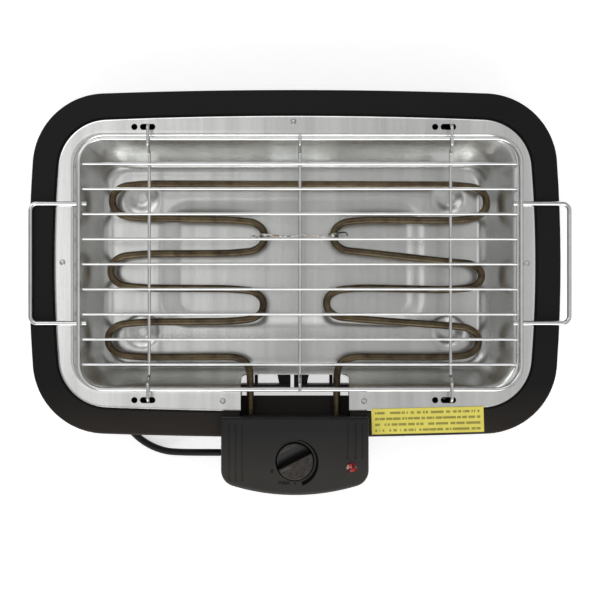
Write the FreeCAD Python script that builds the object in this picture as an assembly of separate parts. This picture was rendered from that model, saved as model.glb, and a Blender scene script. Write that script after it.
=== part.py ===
import FreeCAD, Part
import math
import os

# Table barbecue grill: an open-bottomed plastic base with a pressed reflector tray, a lift-off heating
# unit (tubular element and control box in one), and a wire cooking grate that stands in the flange slots.
# Millimetres, +Z up, +X to the right of the person at the knob, -Y towards that person.
# Everything is drawn about the middle of the base and moved to the middle of the footprint at the end.

V = FreeCAD.Vector
X_AXIS, Y_AXIS, Z_AXIS = V(1, 0, 0), V(0, 1, 0), V(0, 0, 1)

# Base shell
BASE_WIDTH = 460.4
BASE_DEPTH = 300.8
BASE_HEIGHT = 80.0
BASE_CORNER_R = 63.3
BASE_BOW = 3.0  # how far each side's middle stands out
SKIRT_FLARE = 2.0  # the skirt is this much wider at its lower edge
SKIRT_BOTTOM = 14.0
BASE_WALL = 2.6
FOOT_OUT = 32.0  # each foot is this far outside the corner's arc centre, both ways
RIB_HEIGHT = 18.0
RIB_GAP = 6.9  # open strip between the channel's floor and the cross rib
RIB_THICK = 3.5
PAD_X, PAD_HALF, PAD_DEPTH, PAD_HEIGHT = 1.0, 30.0, 18.0, 1.2  # the raised pad on the channel's floor
BOSS_WIDE, BOSS_NARROW, BOSS_X = 29.1, 24.5, -1.75  # the tapered boss in the middle of the rib
SLIT_WIDTH, SLIT_X = 3.1, -2.55  # the slit through that boss
GUIDE_WIDTH, GUIDE_GAP = 2.8, 1.4  # the two guides beside the element's legs
RIB_REACH = 10.6  # how far the rib's boss and guides reach under the tray's wall
SHADOW_GAP = 1.5  # between the tray's flange and the rim round it
RIM_STEP = 1.2  # the rim stands this much above the flange

# Reflector tray
SHEET = 0.8
FLANGE_WIDTH = 417.0
FLANGE_DEPTH = 256.4
FLANGE_CORNER_R = 43.3
FLANGE_BOW = 3.45
WELL_WIDTH = 382.0
WELL_DEPTH = 218.0
WELL_CORNER_R = 25.0
WELL_SHIFT_Y = 1.5
FLOOR_WIDTH = 338.0
FLOOR_DEPTH = 180.0
FLOOR_CORNER_R = 18.0
FLOOR_SHIFT_Y = -1.4
TRAY_DROP = 34.0  # flange top to floor
FLOOR_FILLET = 6.0
PAN_WIDTH = 233.0  # the sunken middle of the floor, at its upper edge
PAN_DEPTH = 113.0
PAN_CORNER_R = 25.0
PAN_SLOPE = 13.0
PAN_DROP = 3.0
CUP_R = 17.0
CUP_DROP = 3.5
CUP_X, CUP_Y = 137.5, 59.7
NOTCH_WIDTH = 94.0  # cut in the flange and the front wall for the element's legs
NOTCH_DEPTH = 22.2
NOTCH_CORNER_R = 3.0

# Openings in the flange for the grate's stepped legs
SLOT_LENGTH = 13.4
SLOT_WIDTH = 5.3
SLOT_INSET = 9.3  # from the well's edge to the slots' middle line
HOLE_R = 2.7
SLOT_SHIFT = 1.6  # each slot's middle is this far to the left of the leg above it
HOLE_SHIFT = 11.5  # each round hole is this far to the left of its slot
SOCKET_WALL = 1.8
SOCKET_DEPTH = 34.0  # from the rim to the closed end of the leg sockets

# Sticker on the front rim
STICKER_WIDTH = 97.0
STICKER_DEPTH = 22.0
STICKER_THICK = 0.25
STICKER_X = 114.8
STICKER_SETBACK = 14.7  # from the base's front to the sticker's middle
STICKER_TURN = 1.4
BASE_CLEAR = 0.02  # between the sticker and the rim it is stuck on

# Cooking grate
GRATE_X = 4.3
GRATE_Y = -0.6
GRATE_WIDTH = 380.0
GRATE_DEPTH = 215.6
GRATE_CORNER_R = 21.5
FRAME_D = 3.8
BAR_D = 2.4
CROSS_D = 2.8
HANDLE_D = 4.0
BAR_COUNT = 9
BAR_MARGIN = 21.4  # from the frame wire's middle to the first bar
BAR_HALF_LENGTH = 187.4
CROSS_PITCH = 130.2
CROSS_DIP = 9.5
DIP_INSET = 5.0  # from the frame wire to where a cross wire starts to dip
DIP_RUN = 7.0
HANDLE_PITCHES = 2.384  # from the grate's middle to each handle wire, in pitches of the bars
HANDLE_REACH = 42.5  # beyond the frame wire
HANDLE_TAIL = 6.0  # inside the frame wire
HANDLE_BEND_R = 6.0
LEG_STEP = 6.0
LEG_STEP_DROP = 14.0  # from the rim to the step in the leg
LEG_FOOT_LIFT = 0.3  # the leg's foot over the floor of its socket
WELD_GAP = 0.02  # wires that are welded where they cross are drawn this far apart
HANDLE_LIFT = 0.5  # handle wires over the rim

# Heating element
ELEMENT_D = 6.5
ELEMENT_DROP = 17.8  # from the flange to the tube's middle
LEG_LEFT_X = -39.5
LEG_RIGHT_X = 36.8
LEG_INSIDE = 14.0  # how far each leg runs into the control box
ROW_Y = [71.0, 39.2, 9.2, -21.5, -51.0, -81.7]  # the straight rows, rear to front
OUTER_LEFT_X = [-161.2, -162.4, -164.7]  # how far the loops reach, rear to front
OUTER_RIGHT_X = [169.0, 164.6, 161.9]
INNER_LEFT_X = [-27.0, -27.9]
INNER_RIGHT_X = [33.9, 27.9]
TIE_D = 1.3
TIE_Y = 24.5

# Control box
BOX_WIDTH = 126.4
BOX_DEPTH = 66.6
BOX_HOOK = 18.4  # how far the box reaches back over the base's front
BOX_BOW = 11.162  # how far the front's middle stands out beyond its sides
BOX_CORNER_R = 14.0
BOX_RISE = 12.0  # over the base's rim
COVER_HEIGHT = 42.0
BOX_LIFT = 14.0  # over the table
BOX_WALL = 2.4
TUB_INSET = 10.0
BOX_EDGE_R = 3.0
SKIRT_GAP = 1.5  # between the skirt and the wall of the box in front of it
RIM_GAP = 1.5
CHANNEL_WIDTH = 96.0
CHANNEL_DEPTH = 28.0  # below the base's rim
CHANNEL_INSET = 9.3  # from the well's front edge to the end of the channel's floor
NECK_GAP = 2.5
NECK_LIFT = 1.5
KNOB_R = 15.7
KNOB_SETBACK = 37.5  # from the box's rear edge to the knob's middle
KNOB_RISE = 2.5  # over the box
KNOB_WELL_DEPTH = 8.0
KNOB_GAP = 1.0
RIDGE_ANGLE = 26.6
GRIP_DEPTH = 7.0
SPINDLE_R = 3.0
RUNNING = 0.05
LENS_R = 4.55
LENS_INSET = 14.9  # from the box's side to the lens's middle
LENS_SETBACK = 42.7
GROOVE_WIDTH, GROOVE_DEPTH = 1.8, 0.8
GROOVE_INSETS_LEFT = [7.2, 12.9, 18.4]  # from the box's side
GROOVE_INSETS_RIGHT = [5.4, 11.4, 18.2]
GROOVE_START, GROOVE_END_LEFT, GROOVE_END_RIGHT = 5.5, 54.0, 35.0  # from the box's rear edge
PLUNGER_SETBACK = 10.0
PLUNGER_R = 2.0
RELIEF_LIFT = 8.0  # over the box's bottom
RELIEF_SETBACK = 39.8
RELIEF_OUT = 4.8  # its tip stands this much outside the box
CLAMP_INSET = 29.2  # from the box's side to the cord clamp
CLAMP_SPREAD = 5.6  # from the sheath's middle to each clamp screw
SHEATH_PAST = 5.0  # the outer sheath ends this far beyond the clamp
FERRULE_R, FERRULE_LENGTH, FERRULE_INSET = 4.3, 3.0, 0.7
PLATE_RISE = 15.0  # from the element's legs to the top of the plate that holds them

# Mains cord: a round rubber lead that drops to the table, turns in under the skirt and is wound up there
CORD_D = 6.5
CORD_Z = CORD_D / 2 + 0.1
COIL_X, COIL_Y = -130.0, -36.0
COIL_MID_R = 36.0
COIL_SIDE_BY_SIDE = 3
COIL_LAYERS = 2
BODY_GAP = 0.3  # between pieces of bodies that move apart
PLUG_R = 19.0
PLUG_LENGTH = 40.0
PLUG_X = -74.5
PIN_R = 2.4
PIN_LENGTH = 19.0
PIN_SPREAD = 9.5

base_front = -BASE_DEPTH / 2
flange_top = BASE_HEIGHT - RIM_STEP
ledge_top = flange_top - SHEET
floor_top = flange_top - TRAY_DROP
notch_bottom = flange_top - NOTCH_DEPTH
socket_bottom = BASE_HEIGHT - SOCKET_DEPTH
element_r = ELEMENT_D / 2
element_z = flange_top - ELEMENT_DROP
slot_y = WELL_DEPTH / 2 + SLOT_INSET
bar_pitch = (GRATE_DEPTH - 2 * BAR_MARGIN) / (BAR_COUNT - 1)
handle_spread = HANDLE_PITCHES * bar_pitch
leg_step_z = BASE_HEIGHT - LEG_STEP_DROP
leg_foot_z = socket_bottom + SOCKET_WALL + LEG_FOOT_LIFT
sticker_x, sticker_y = STICKER_X, base_front + STICKER_SETBACK
handle_z = BASE_HEIGHT + HANDLE_LIFT + HANDLE_D / 2
frame_z = handle_z + (HANDLE_D + FRAME_D) / 2 + WELD_GAP
cross_z = frame_z + (FRAME_D + CROSS_D) / 2 + WELD_GAP
dip_z = cross_z - CROSS_DIP
bar_z = dip_z + (CROSS_D + BAR_D) / 2 + WELD_GAP
slots_x = [GRATE_X + side * CROSS_PITCH - SLOT_SHIFT for side in (-1, 1)]

box_rear_y = base_front + BOX_HOOK
box_front_y = box_rear_y - BOX_DEPTH
box_top = BASE_HEIGHT + BOX_RISE
box_split = box_top - COVER_HEIGHT
box_bottom = BOX_LIFT
box_side = BOX_WIDTH / 2
box_front_r = (box_side ** 2 + BOX_BOW ** 2) / (2 * BOX_BOW)
leg_end_y = box_rear_y - LEG_INSIDE
knob_y = box_rear_y - KNOB_SETBACK
knob_top = box_top + KNOB_RISE
lens_x, lens_y = box_side - LENS_INSET, box_rear_y - LENS_SETBACK
plunger_y = box_rear_y - PLUNGER_SETBACK
relief_y, relief_z = box_rear_y - RELIEF_SETBACK, box_bottom + RELIEF_LIFT
relief_tip_x = -box_side - RELIEF_OUT
relief_post_x = -box_side + CLAMP_INSET
sheath_end_x = relief_post_x + SHEATH_PAST
channel_floor = BASE_HEIGHT - CHANNEL_DEPTH
channel_start_y = WELL_SHIFT_Y - WELL_DEPTH / 2 - CHANNEL_INSET
rib_y = channel_start_y + RIB_GAP + RIB_THICK
rivet_places = [(-1.3, FLANGE_DEPTH / 2 - 5.4), (7.3 - FLANGE_WIDTH / 2, 1.0), (FLANGE_WIDTH / 2 - 7.9, 0.0),
                (-62.5, 9.2 - FLANGE_DEPTH / 2), (60.0, 9.2 - FLANGE_DEPTH / 2)]
rib_top = notch_bottom - 0.6
rib_bottom = rib_top - RIB_HEIGHT
guide_top = rib_top - 6.0
foot_x = BASE_WIDTH / 2 - BASE_CORNER_R + FOOT_OUT
foot_y = BASE_DEPTH / 2 - BASE_CORNER_R + FOOT_OUT
feet_places = [(sx * foot_x, sy * foot_y) for sx in (-1, 1) for sy in (-1, 1)]

nodes = {}


def keep(name, shape):
    nodes[name] = shape


def circle_meet(a, ra, b, rb, side):
    """Where two circles round a and b meet, on the side of the line from a to b that side says."""
    span = b - a
    d = span.Length
    along = (ra * ra - rb * rb + d * d) / (2 * d)
    off = math.sqrt(ra * ra - along * along)
    u = span / d
    return a + u * along + V(-u.y, u.x, 0) * off * side


def bowed_outline(width, depth, corner_r, bow, z, cy=0.0):
    """A rounded rectangle whose four sides bow out, with arcs that run smoothly into each other."""
    w, d = width / 2, depth / 2
    side_r = ((d - corner_r) ** 2 + bow ** 2) / (2 * bow)
    end_r = ((w - corner_r) ** 2 + bow ** 2) / (2 * bow)
    right, top = V(w - side_r, 0, 0), V(0, d - end_r, 0)
    corner = circle_meet(right, side_r - corner_r, top, end_r - corner_r, -1)
    if corner.x < 0 or corner.y < 0:
        corner = circle_meet(right, side_r - corner_r, top, end_r - corner_r, 1)
    on_right = right + (corner - right).normalize() * side_r
    on_top = top + (corner - top).normalize() * end_r
    mid = corner + ((on_right - corner).normalize() + (on_top - corner).normalize()).normalize() * corner_r
    edges = []

    def arc(p, q, r):
        edges.append(Part.Arc(*[V(s.x, s.y + cy, z) for s in (p, q, r)]).toShape())

    quarter = [(1, 1), (-1, 1), (-1, -1), (1, -1)]
    turned = [lambda s, m=m: V(s.x * m[0], s.y * m[1], 0) for m in quarter]
    arc(turned[3](on_right), V(w, 0, 0), turned[0](on_right))
    arc(turned[0](on_right), turned[0](mid), turned[0](on_top))
    arc(turned[0](on_top), V(0, d, 0), turned[1](on_top))
    arc(turned[1](on_top), turned[1](mid), turned[1](on_right))
    arc(turned[1](on_right), V(-w, 0, 0), turned[2](on_right))
    arc(turned[2](on_right), turned[2](mid), turned[2](on_top))
    arc(turned[2](on_top), V(0, -d, 0), turned[3](on_top))
    arc(turned[3](on_top), turned[3](mid), turned[3](on_right))
    return Part.Wire(edges)


def rounded_rect(width, depth, r, z, cx=0.0, cy=0.0):
    w, d = width / 2, depth / 2
    k = r * (1 - math.sqrt(0.5))
    edges = []
    corners = [(1, -1), (1, 1), (-1, 1), (-1, -1)]
    ends = []
    for sx, sy in corners:
        a, b = V(sx * w, sy * (d - r), 0), V(sx * (w - r), sy * d, 0)
        first, last = (b, a) if sx * sy < 0 else (a, b)
        ends.append((first, V(sx * (w - k), sy * (d - k), 0), last))
    for i, (first, mid, last) in enumerate(ends):
        shift = V(cx, cy, z)
        edges.append(Part.Arc(first + shift, mid + shift, last + shift).toShape())
        following = ends[(i + 1) % 4][0]
        edges.append(Part.LineSegment(last + shift, following + shift).toShape())
    return Part.Wire(edges)


def raise_wire(wire, height):
    return Part.Face(wire).extrude(V(0, 0, height))


def block(x0, x1, y0, y1, z0, z1):
    return Part.makeBox(x1 - x0, y1 - y0, z1 - z0, V(x0, y0, z0))


def rod(x, y, z0, z1, r):
    return Part.makeCylinder(r, z1 - z0, V(x, y, z0))


def tapered(wires):
    return Part.makeLoft(wires, True, True)


def slot_cut(cx, cy, length, width, z0, z1):
    return raise_wire(rounded_rect(length, width, width / 2 - 0.01, z0, cx, cy), z1 - z0)


def path_edges(points, radii):
    """Straight runs joined by tangent arcs: one radius for each point between the ends."""
    pts = [V(*p) for p in points]
    edges, start = [], pts[0]
    for i, r in enumerate(radii, 1):
        back = (pts[i - 1] - pts[i]).normalize()
        on = (pts[i + 1] - pts[i]).normalize()
        turn = math.pi - back.getAngle(on)
        reach = r * math.tan(turn / 2)
        a, b = pts[i] + back * reach, pts[i] + on * reach
        middle = pts[i] + (back + on).normalize() * (r / math.cos(turn / 2) - r)
        edges.append(Part.LineSegment(start, a).toShape())
        edges.append(Part.Arc(a, middle, b).toShape())
        start = b
    edges.append(Part.LineSegment(start, pts[-1]).toShape())
    return edges


def roomy_radii(points, share=0.45):
    """The largest arc at each point that leaves its two runs room: the share of the shorter run."""
    pts = [V(*p) for p in points]
    radii = []
    for a, b, c in zip(pts, pts[1:], pts[2:]):
        turn = (b - a).getAngle(c - b)
        radii.append(share * min((b - a).Length, (c - b).Length) / math.tan(turn / 2))
    return radii


def bent_rod(points, radii, diameter):
    """A round rod along runs and arcs, with its length."""
    edges = path_edges(points, radii)
    path = Part.Wire(edges)
    heading = V(*points[1]) - V(*points[0])
    section = Part.Wire(Part.makeCircle(diameter / 2, V(*points[0]), heading))
    return path.makePipeShell([section], True, False), path.Length


def turned_x(profile, y, z):
    """A piece turned about a line along X: the profile is a list of (x, radius)."""
    pts = [V(x, y, z + r) for x, r in profile]
    pts = [V(profile[0][0], y, z)] + pts + [V(profile[-1][0], y, z)]
    return Part.Face(Part.makePolygon(pts + [pts[0]])).revolve(V(0, y, z), X_AXIS, 360)


def fuse(first, *others):
    return first.multiFuse(list(others)).removeSplitter()


def screw(x, y, head_z, tip_z, r, head_r, head_h, up=True):
    """A pan-head screw. Up means that its tip points up and its head is below."""
    if up:
        return fuse(rod(x, y, head_z, tip_z, r), rod(x, y, head_z - head_h, head_z, head_r))
    return fuse(rod(x, y, tip_z, head_z, r), rod(x, y, head_z, head_z + head_h, head_r))


# ---- Base shell --------------------------------------------------------------------------------------
# One moulding: skirt, rim, the ledge under the flange, the channel for the control box's neck, the
# cross rib under the element's legs, the grate's leg sockets and the posts for the feet.
def base_shell():
    drop = BASE_HEIGHT - SKIRT_BOTTOM
    flare = 2 * SKIRT_FLARE
    outer = tapered([
        bowed_outline(BASE_WIDTH + flare, BASE_DEPTH + flare, BASE_CORNER_R, BASE_BOW, SKIRT_BOTTOM),
        bowed_outline(BASE_WIDTH, BASE_DEPTH, BASE_CORNER_R, BASE_BOW, BASE_HEIGHT),
    ])
    top_edges = [e for e in outer.Edges if e.BoundBox.ZMin > BASE_HEIGHT - 0.01]
    outer = outer.makeFillet(2.0, top_edges)
    thick = 2 * BASE_WALL
    inner = tapered([
        bowed_outline(BASE_WIDTH + flare - thick, BASE_DEPTH + flare - thick, BASE_CORNER_R - BASE_WALL,
                      BASE_BOW, SKIRT_BOTTOM - 1),
        bowed_outline(BASE_WIDTH - thick, BASE_DEPTH - thick, BASE_CORNER_R - BASE_WALL, BASE_BOW,
                      ledge_top - BASE_WALL),
    ])
    recess = raise_wire(bowed_outline(FLANGE_WIDTH + 2 * SHADOW_GAP, FLANGE_DEPTH + 2 * SHADOW_GAP,
                                      FLANGE_CORNER_R + SHADOW_GAP, FLANGE_BOW, ledge_top), drop)
    well = raise_wire(rounded_rect(WELL_WIDTH + 6, WELL_DEPTH + 4, WELL_CORNER_R + 3, SKIRT_BOTTOM, 0,
                                   WELL_SHIFT_Y), BASE_HEIGHT)
    shell = outer.cut(inner).cut(recess).cut(well)

    half = CHANNEL_WIDTH / 2
    wall = half + BASE_WALL
    shell = shell.cut(block(-half, half, base_front - 10, channel_start_y + 8, channel_floor, BASE_HEIGHT + 5))
    under = channel_floor - BASE_WALL
    inside = base_front + 1.0
    added = [block(-wall, wall, inside, channel_start_y, under, channel_floor)]
    for sx in (-1, 1):
        x0, x1 = sorted((sx * half, sx * wall))
        added.append(block(x0, x1, inside, channel_start_y, under, ledge_top - BASE_WALL / 2))
        added.append(block(x0, x1, channel_start_y, rib_y, rib_bottom, rib_top))
    added.append(block(PAD_X - PAD_HALF, PAD_X + PAD_HALF, channel_start_y - PAD_DEPTH, channel_start_y,
                       channel_floor, channel_floor + PAD_HEIGHT))
    added.append(block(-wall, wall, rib_y - RIB_THICK, rib_y, rib_bottom, rib_top))
    reach = rib_y + RIB_REACH
    wide, narrow = BOSS_WIDE / 2, BOSS_NARROW / 2
    corners = [(-wide, reach), (wide, reach), (narrow, rib_y - 1), (-narrow, rib_y - 1), (-wide, reach)]
    boss = Part.makePolygon([V(BOSS_X + x, y, rib_bottom) for x, y in corners])
    added.append(raise_wire(boss, guide_top - rib_bottom))
    for x, inward in ((LEG_LEFT_X, 1), (LEG_RIGHT_X, -1)):
        middle = x + inward * (element_r + GUIDE_GAP)
        added.append(block(middle - GUIDE_WIDTH / 2, middle + GUIDE_WIDTH / 2, rib_y - 1, reach, rib_bottom,
                           guide_top))
    shell = fuse(shell, *added)
    shell = shell.cut(block(SLIT_X - SLIT_WIDTH / 2, SLIT_X + SLIT_WIDTH / 2, rib_y - 10, rib_y + 20,
                            rib_bottom - 1, rib_top + 1))

    for x in slots_x:
        for y in (-slot_y, slot_y):
            mid = x - HOLE_SHIFT / 2
            long_side = SLOT_LENGTH + HOLE_SHIFT
            body = block(mid - long_side / 2 - SOCKET_WALL, mid + long_side / 2 + SOCKET_WALL,
                         y - SLOT_WIDTH / 2 - SOCKET_WALL, y + SLOT_WIDTH / 2 + SOCKET_WALL,
                         socket_bottom, ledge_top - 1)
            pocket = block(mid - long_side / 2, mid + long_side / 2, y - SLOT_WIDTH / 2,
                           y + SLOT_WIDTH / 2, socket_bottom + SOCKET_WALL, ledge_top + 1)
            shell = fuse(shell, body).cut(pocket)

    for x, y in feet_places:
        post = rod(x, y, SKIRT_BOTTOM - 4, ledge_top - 1, 7.0)
        shell = fuse(shell, post).cut(rod(x, y, SKIRT_BOTTOM - 5, SKIRT_BOTTOM + 22, 1.6 + RUNNING))
    for x, y in rivet_places:
        shell = shell.cut(rod(x, y, ledge_top - 5, ledge_top + 1, 1.5 + RUNNING))
    return shell


keep("base_shell", base_shell())


# ---- Feet --------------------------------------------------------------------------------------------
def foot(x, y):
    cone = Part.makeCone(12.0, 13.5, SKIRT_BOTTOM - 4.3, V(x, y, 0))
    cone = cone.makeFillet(1.2, [e for e in cone.Edges if e.BoundBox.ZMax < 0.01])
    return cone.cut(rod(x, y, -1, 3.4, 4.2)).cut(rod(x, y, 0, SKIRT_BOTTOM, 1.6 + RUNNING))


for (x, y), place in zip(feet_places, ("front_left", "rear_left", "front_right", "rear_right")):
    keep("rubber_foot_" + place, foot(x, y))
keep("foot_screws", Part.makeCompound([screw(x, y, 3.4, SKIRT_BOTTOM + 12, 1.6, 3.4, 1.8)
                                       for x, y in feet_places]))


# ---- Reflector tray ----------------------------------------------------------------------------------
# Pressed from one bright sheet: a flat flange, sloping walls, a sunken middle and four round cups.
def well_solid(skin, top_z):
    """The well as a solid body: its inside for skin 0, its outside for skin SHEET."""
    grow = 2 * skin
    body = tapered([
        rounded_rect(FLOOR_WIDTH + grow, FLOOR_DEPTH + grow, FLOOR_CORNER_R + skin, floor_top - skin, 0,
                     FLOOR_SHIFT_Y),
        rounded_rect(WELL_WIDTH + grow, WELL_DEPTH + grow, WELL_CORNER_R + skin, top_z, 0, WELL_SHIFT_Y),
    ])
    low = [e for e in body.Edges if e.BoundBox.ZMax < floor_top + 0.01]
    body = body.makeFillet(FLOOR_FILLET + skin, low)
    pan = tapered([
        rounded_rect(PAN_WIDTH - 2 * PAN_SLOPE + grow, PAN_DEPTH - 2 * PAN_SLOPE + grow,
                     PAN_CORNER_R - PAN_SLOPE + skin, floor_top - PAN_DROP - skin, -1.5, 0.8),
        rounded_rect(PAN_WIDTH + grow, PAN_DEPTH + grow, PAN_CORNER_R + skin, floor_top - skin + 0.05, -1.5,
                     0.8),
    ])
    cups = []
    for sx in (-1, 1):
        for sy in (-1, 1):
            cups.append(Part.makeCone(CUP_R * 0.45 + skin, CUP_R + skin, CUP_DROP + 0.05,
                                      V(sx * CUP_X, sy * CUP_Y, floor_top - skin - CUP_DROP)))
    return body.multiFuse([pan] + cups)


def reflector_tray():
    flange = raise_wire(bowed_outline(FLANGE_WIDTH, FLANGE_DEPTH, FLANGE_CORNER_R, FLANGE_BOW, ledge_top),
                        SHEET)
    tray = flange.fuse(well_solid(SHEET, ledge_top + 0.2)).cut(well_solid(0.0, flange_top + 0.01))
    half = NOTCH_WIDTH / 2
    notch = block(-half, half, -FLANGE_DEPTH, -80.0, notch_bottom, BASE_HEIGHT)
    notch = notch.makeFillet(NOTCH_CORNER_R + 4, [e for e in notch.Edges
                                                  if e.BoundBox.ZMax < notch_bottom + 0.01
                                                  and e.BoundBox.XLength < 0.01])
    tray = tray.cut(notch)
    for x in slots_x:
        for y in (-slot_y, slot_y):
            tray = tray.cut(slot_cut(x, y, SLOT_LENGTH, SLOT_WIDTH, ledge_top - 1, flange_top + 1))
            tray = tray.cut(rod(x - HOLE_SHIFT, y, ledge_top - 1, flange_top + 1, HOLE_R))
    for x, y in rivet_places:
        tray = tray.cut(rod(x, y, ledge_top - 1, flange_top + 1, 1.5 + RUNNING))
    return tray


def rivet(x, y):
    head = Part.makeCone(2.4, 1.6, 0.7, V(x, y, flange_top))
    tail_top = ledge_top - BASE_WALL
    return fuse(rod(x, y, tail_top, flange_top, 1.5), head, rod(x, y, tail_top - 1.0, tail_top, 2.4))


keep("reflector_tray", reflector_tray())
keep("tray_rivets", Part.makeCompound([rivet(x, y) for x, y in rivet_places]))


# ---- Sticker on the front rim ------------------------------------------------------------------------
def sticker():
    w, d = STICKER_WIDTH / 2, STICKER_DEPTH / 2
    plate = block(-w, w, -d, d, 0, STICKER_THICK)
    plate.rotate(V(0, 0, 0), Z_AXIS, STICKER_TURN)
    plate.translate(V(sticker_x, sticker_y, BASE_HEIGHT + BASE_CLEAR))
    return plate


keep("front_sticker", sticker())


# ---- Cooking grate -----------------------------------------------------------------------------------
def grate_frame():
    loop = rounded_rect(GRATE_WIDTH, GRATE_DEPTH, GRATE_CORNER_R, frame_z, GRATE_X, GRATE_Y)
    start = loop.Edges[1].Vertexes[0].Point
    heading = loop.Edges[1].Vertexes[1].Point - start
    path = Part.Wire(loop.Edges[1:] + loop.Edges[:1])
    section = Part.Wire(Part.makeCircle(FRAME_D / 2, start, heading))
    return path.makePipeShell([section], True, False)


def half_cross(x, sy, leg):
    """One end of a cross wire, from its middle out: the dip, the climb over the frame and the leg."""
    edge = GRATE_DEPTH / 2
    pts = [(x, GRATE_Y + sy * (edge - DIP_INSET - DIP_RUN), dip_z),
           (x, GRATE_Y + sy * (edge - DIP_INSET), cross_z)]
    if not leg:
        return pts + [(x, GRATE_Y + sy * (edge + FRAME_D / 2), cross_z)]
    y = sy * slot_y
    return pts + [(x, y, cross_z), (x, y, leg_step_z), (x - LEG_STEP, y, leg_step_z - 2.5),
                  (x - LEG_STEP, y, leg_foot_z)]


def cross_wire(x, leg):
    rear, front = half_cross(x, 1, leg), half_cross(x, -1, leg)
    points = front[::-1] + rear
    bends = [3.0] * (len(points) - 2)
    return bent_rod(points, bends, CROSS_D)[0]


def handle(side):
    inner_x = GRATE_X + side * (GRATE_WIDTH / 2 - HANDLE_TAIL)
    outer_x = GRATE_X + side * (GRATE_WIDTH / 2 + HANDLE_REACH)
    points = [(inner_x, handle_spread, handle_z), (outer_x, handle_spread, handle_z),
              (outer_x, -handle_spread, handle_z), (inner_x, -handle_spread, handle_z)]
    return bent_rod(points, [HANDLE_BEND_R, HANDLE_BEND_R], HANDLE_D)[0]


keep("grate_frame", grate_frame())
for name, step, leg in (("left", -1, True), ("middle", 0, False), ("right", 1, True)):
    keep("grate_cross_wire_" + name, cross_wire(GRATE_X + step * CROSS_PITCH, leg))
for i in range(BAR_COUNT):
    y = GRATE_Y + (i - (BAR_COUNT - 1) / 2) * bar_pitch
    keep("grate_bar_%d" % (i + 1), Part.makeCylinder(BAR_D / 2, 2 * BAR_HALF_LENGTH,
                                                     V(GRATE_X - BAR_HALF_LENGTH, y, bar_z), X_AXIS))
keep("grate_handle_left", handle(-1))
keep("grate_handle_right", handle(1))


# ---- Heating element ---------------------------------------------------------------------------------
def loop_points(apex_x, y0, y1, side):
    """The points of one end loop, from the row at y0 to the row at y1. side is +1 for a right-hand end."""
    step = y1 - y0
    shape = [(30.0, 0.0), (9.0, 0.07), (0.0, 0.30), (0.0, 0.70), (9.0, 0.93), (30.0, 1.0)]
    return [(apex_x - side * back, y0 + step * share, element_z) for back, share in shape]


def element_route():
    left = [(LEG_LEFT_X, leg_end_y, element_z), (LEG_LEFT_X, ROW_Y[5] - 15, element_z),
            (LEG_LEFT_X - 3, ROW_Y[5] - 4, element_z), (LEG_LEFT_X - 14, ROW_Y[5], element_z)]
    left += loop_points(OUTER_LEFT_X[2], ROW_Y[5] - 0.4, ROW_Y[4], -1)
    left += loop_points(INNER_LEFT_X[1], ROW_Y[4] + 0.6, ROW_Y[3], 1)
    left += loop_points(OUTER_LEFT_X[1], ROW_Y[3] + 0.5, ROW_Y[2], -1)
    left += loop_points(INNER_LEFT_X[0], ROW_Y[2] + 0.4, ROW_Y[1], 1)
    left += loop_points(OUTER_LEFT_X[0], ROW_Y[1] + 1.2, ROW_Y[0], -1)
    right = [(LEG_RIGHT_X, leg_end_y, element_z), (LEG_RIGHT_X, ROW_Y[5] - 15, element_z),
             (LEG_RIGHT_X + 3, ROW_Y[5] - 4, element_z), (LEG_RIGHT_X + 14, ROW_Y[5], element_z)]
    right += loop_points(OUTER_RIGHT_X[2], ROW_Y[5] - 0.4, ROW_Y[4] - 3, 1)
    right += loop_points(INNER_RIGHT_X[1], ROW_Y[4] + 2.5, ROW_Y[3] + 0.7, -1)
    right += loop_points(OUTER_RIGHT_X[1], ROW_Y[3] - 1, ROW_Y[2] - 7, 1)
    right += loop_points(INNER_RIGHT_X[0], ROW_Y[2] + 1, ROW_Y[1], -1)
    right += loop_points(OUTER_RIGHT_X[0], ROW_Y[1] - 0.8, ROW_Y[0] - 1, 1)
    return left + right[::-1]


def tie_wire():
    """A thin wire that holds the two inner loops together, wound once round each tube."""
    span = (INNER_LEFT_X[0], INNER_RIGHT_X[0])
    ring_r = element_r + TIE_D / 2 + 0.05
    rings = [Part.makeTorus(ring_r, TIE_D / 2, V(x, TIE_Y, element_z), Y_AXIS) for x in span]
    lift = element_z + ring_r + 0.2
    wire = Part.makeCylinder(TIE_D / 2, span[1] - span[0] + 16, V(span[0] - 8, TIE_Y, lift), X_AXIS)
    return fuse(wire, *rings)


element, element_length = bent_rod(element_route(), roomy_radii(element_route()), ELEMENT_D)
keep("heating_element", element)
keep("element_tie_wire", tie_wire())
legs_x = (LEG_LEFT_X, LEG_RIGHT_X)
pin_end = leg_end_y - 12
keep("element_insulators", Part.makeCompound([
    Part.makeCylinder(2.6, 4.0, V(x, leg_end_y - 0.05, element_z), V(0, -1, 0)).cut(
        Part.makeCylinder(1.25, 6.0, V(x, leg_end_y, element_z), V(0, -1, 0))) for x in legs_x]))
keep("element_terminal_pins", Part.makeCompound([
    Part.makeCylinder(1.2, 12.0, V(x, leg_end_y - 0.05, element_z), V(0, -1, 0)) for x in legs_x]))


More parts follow.
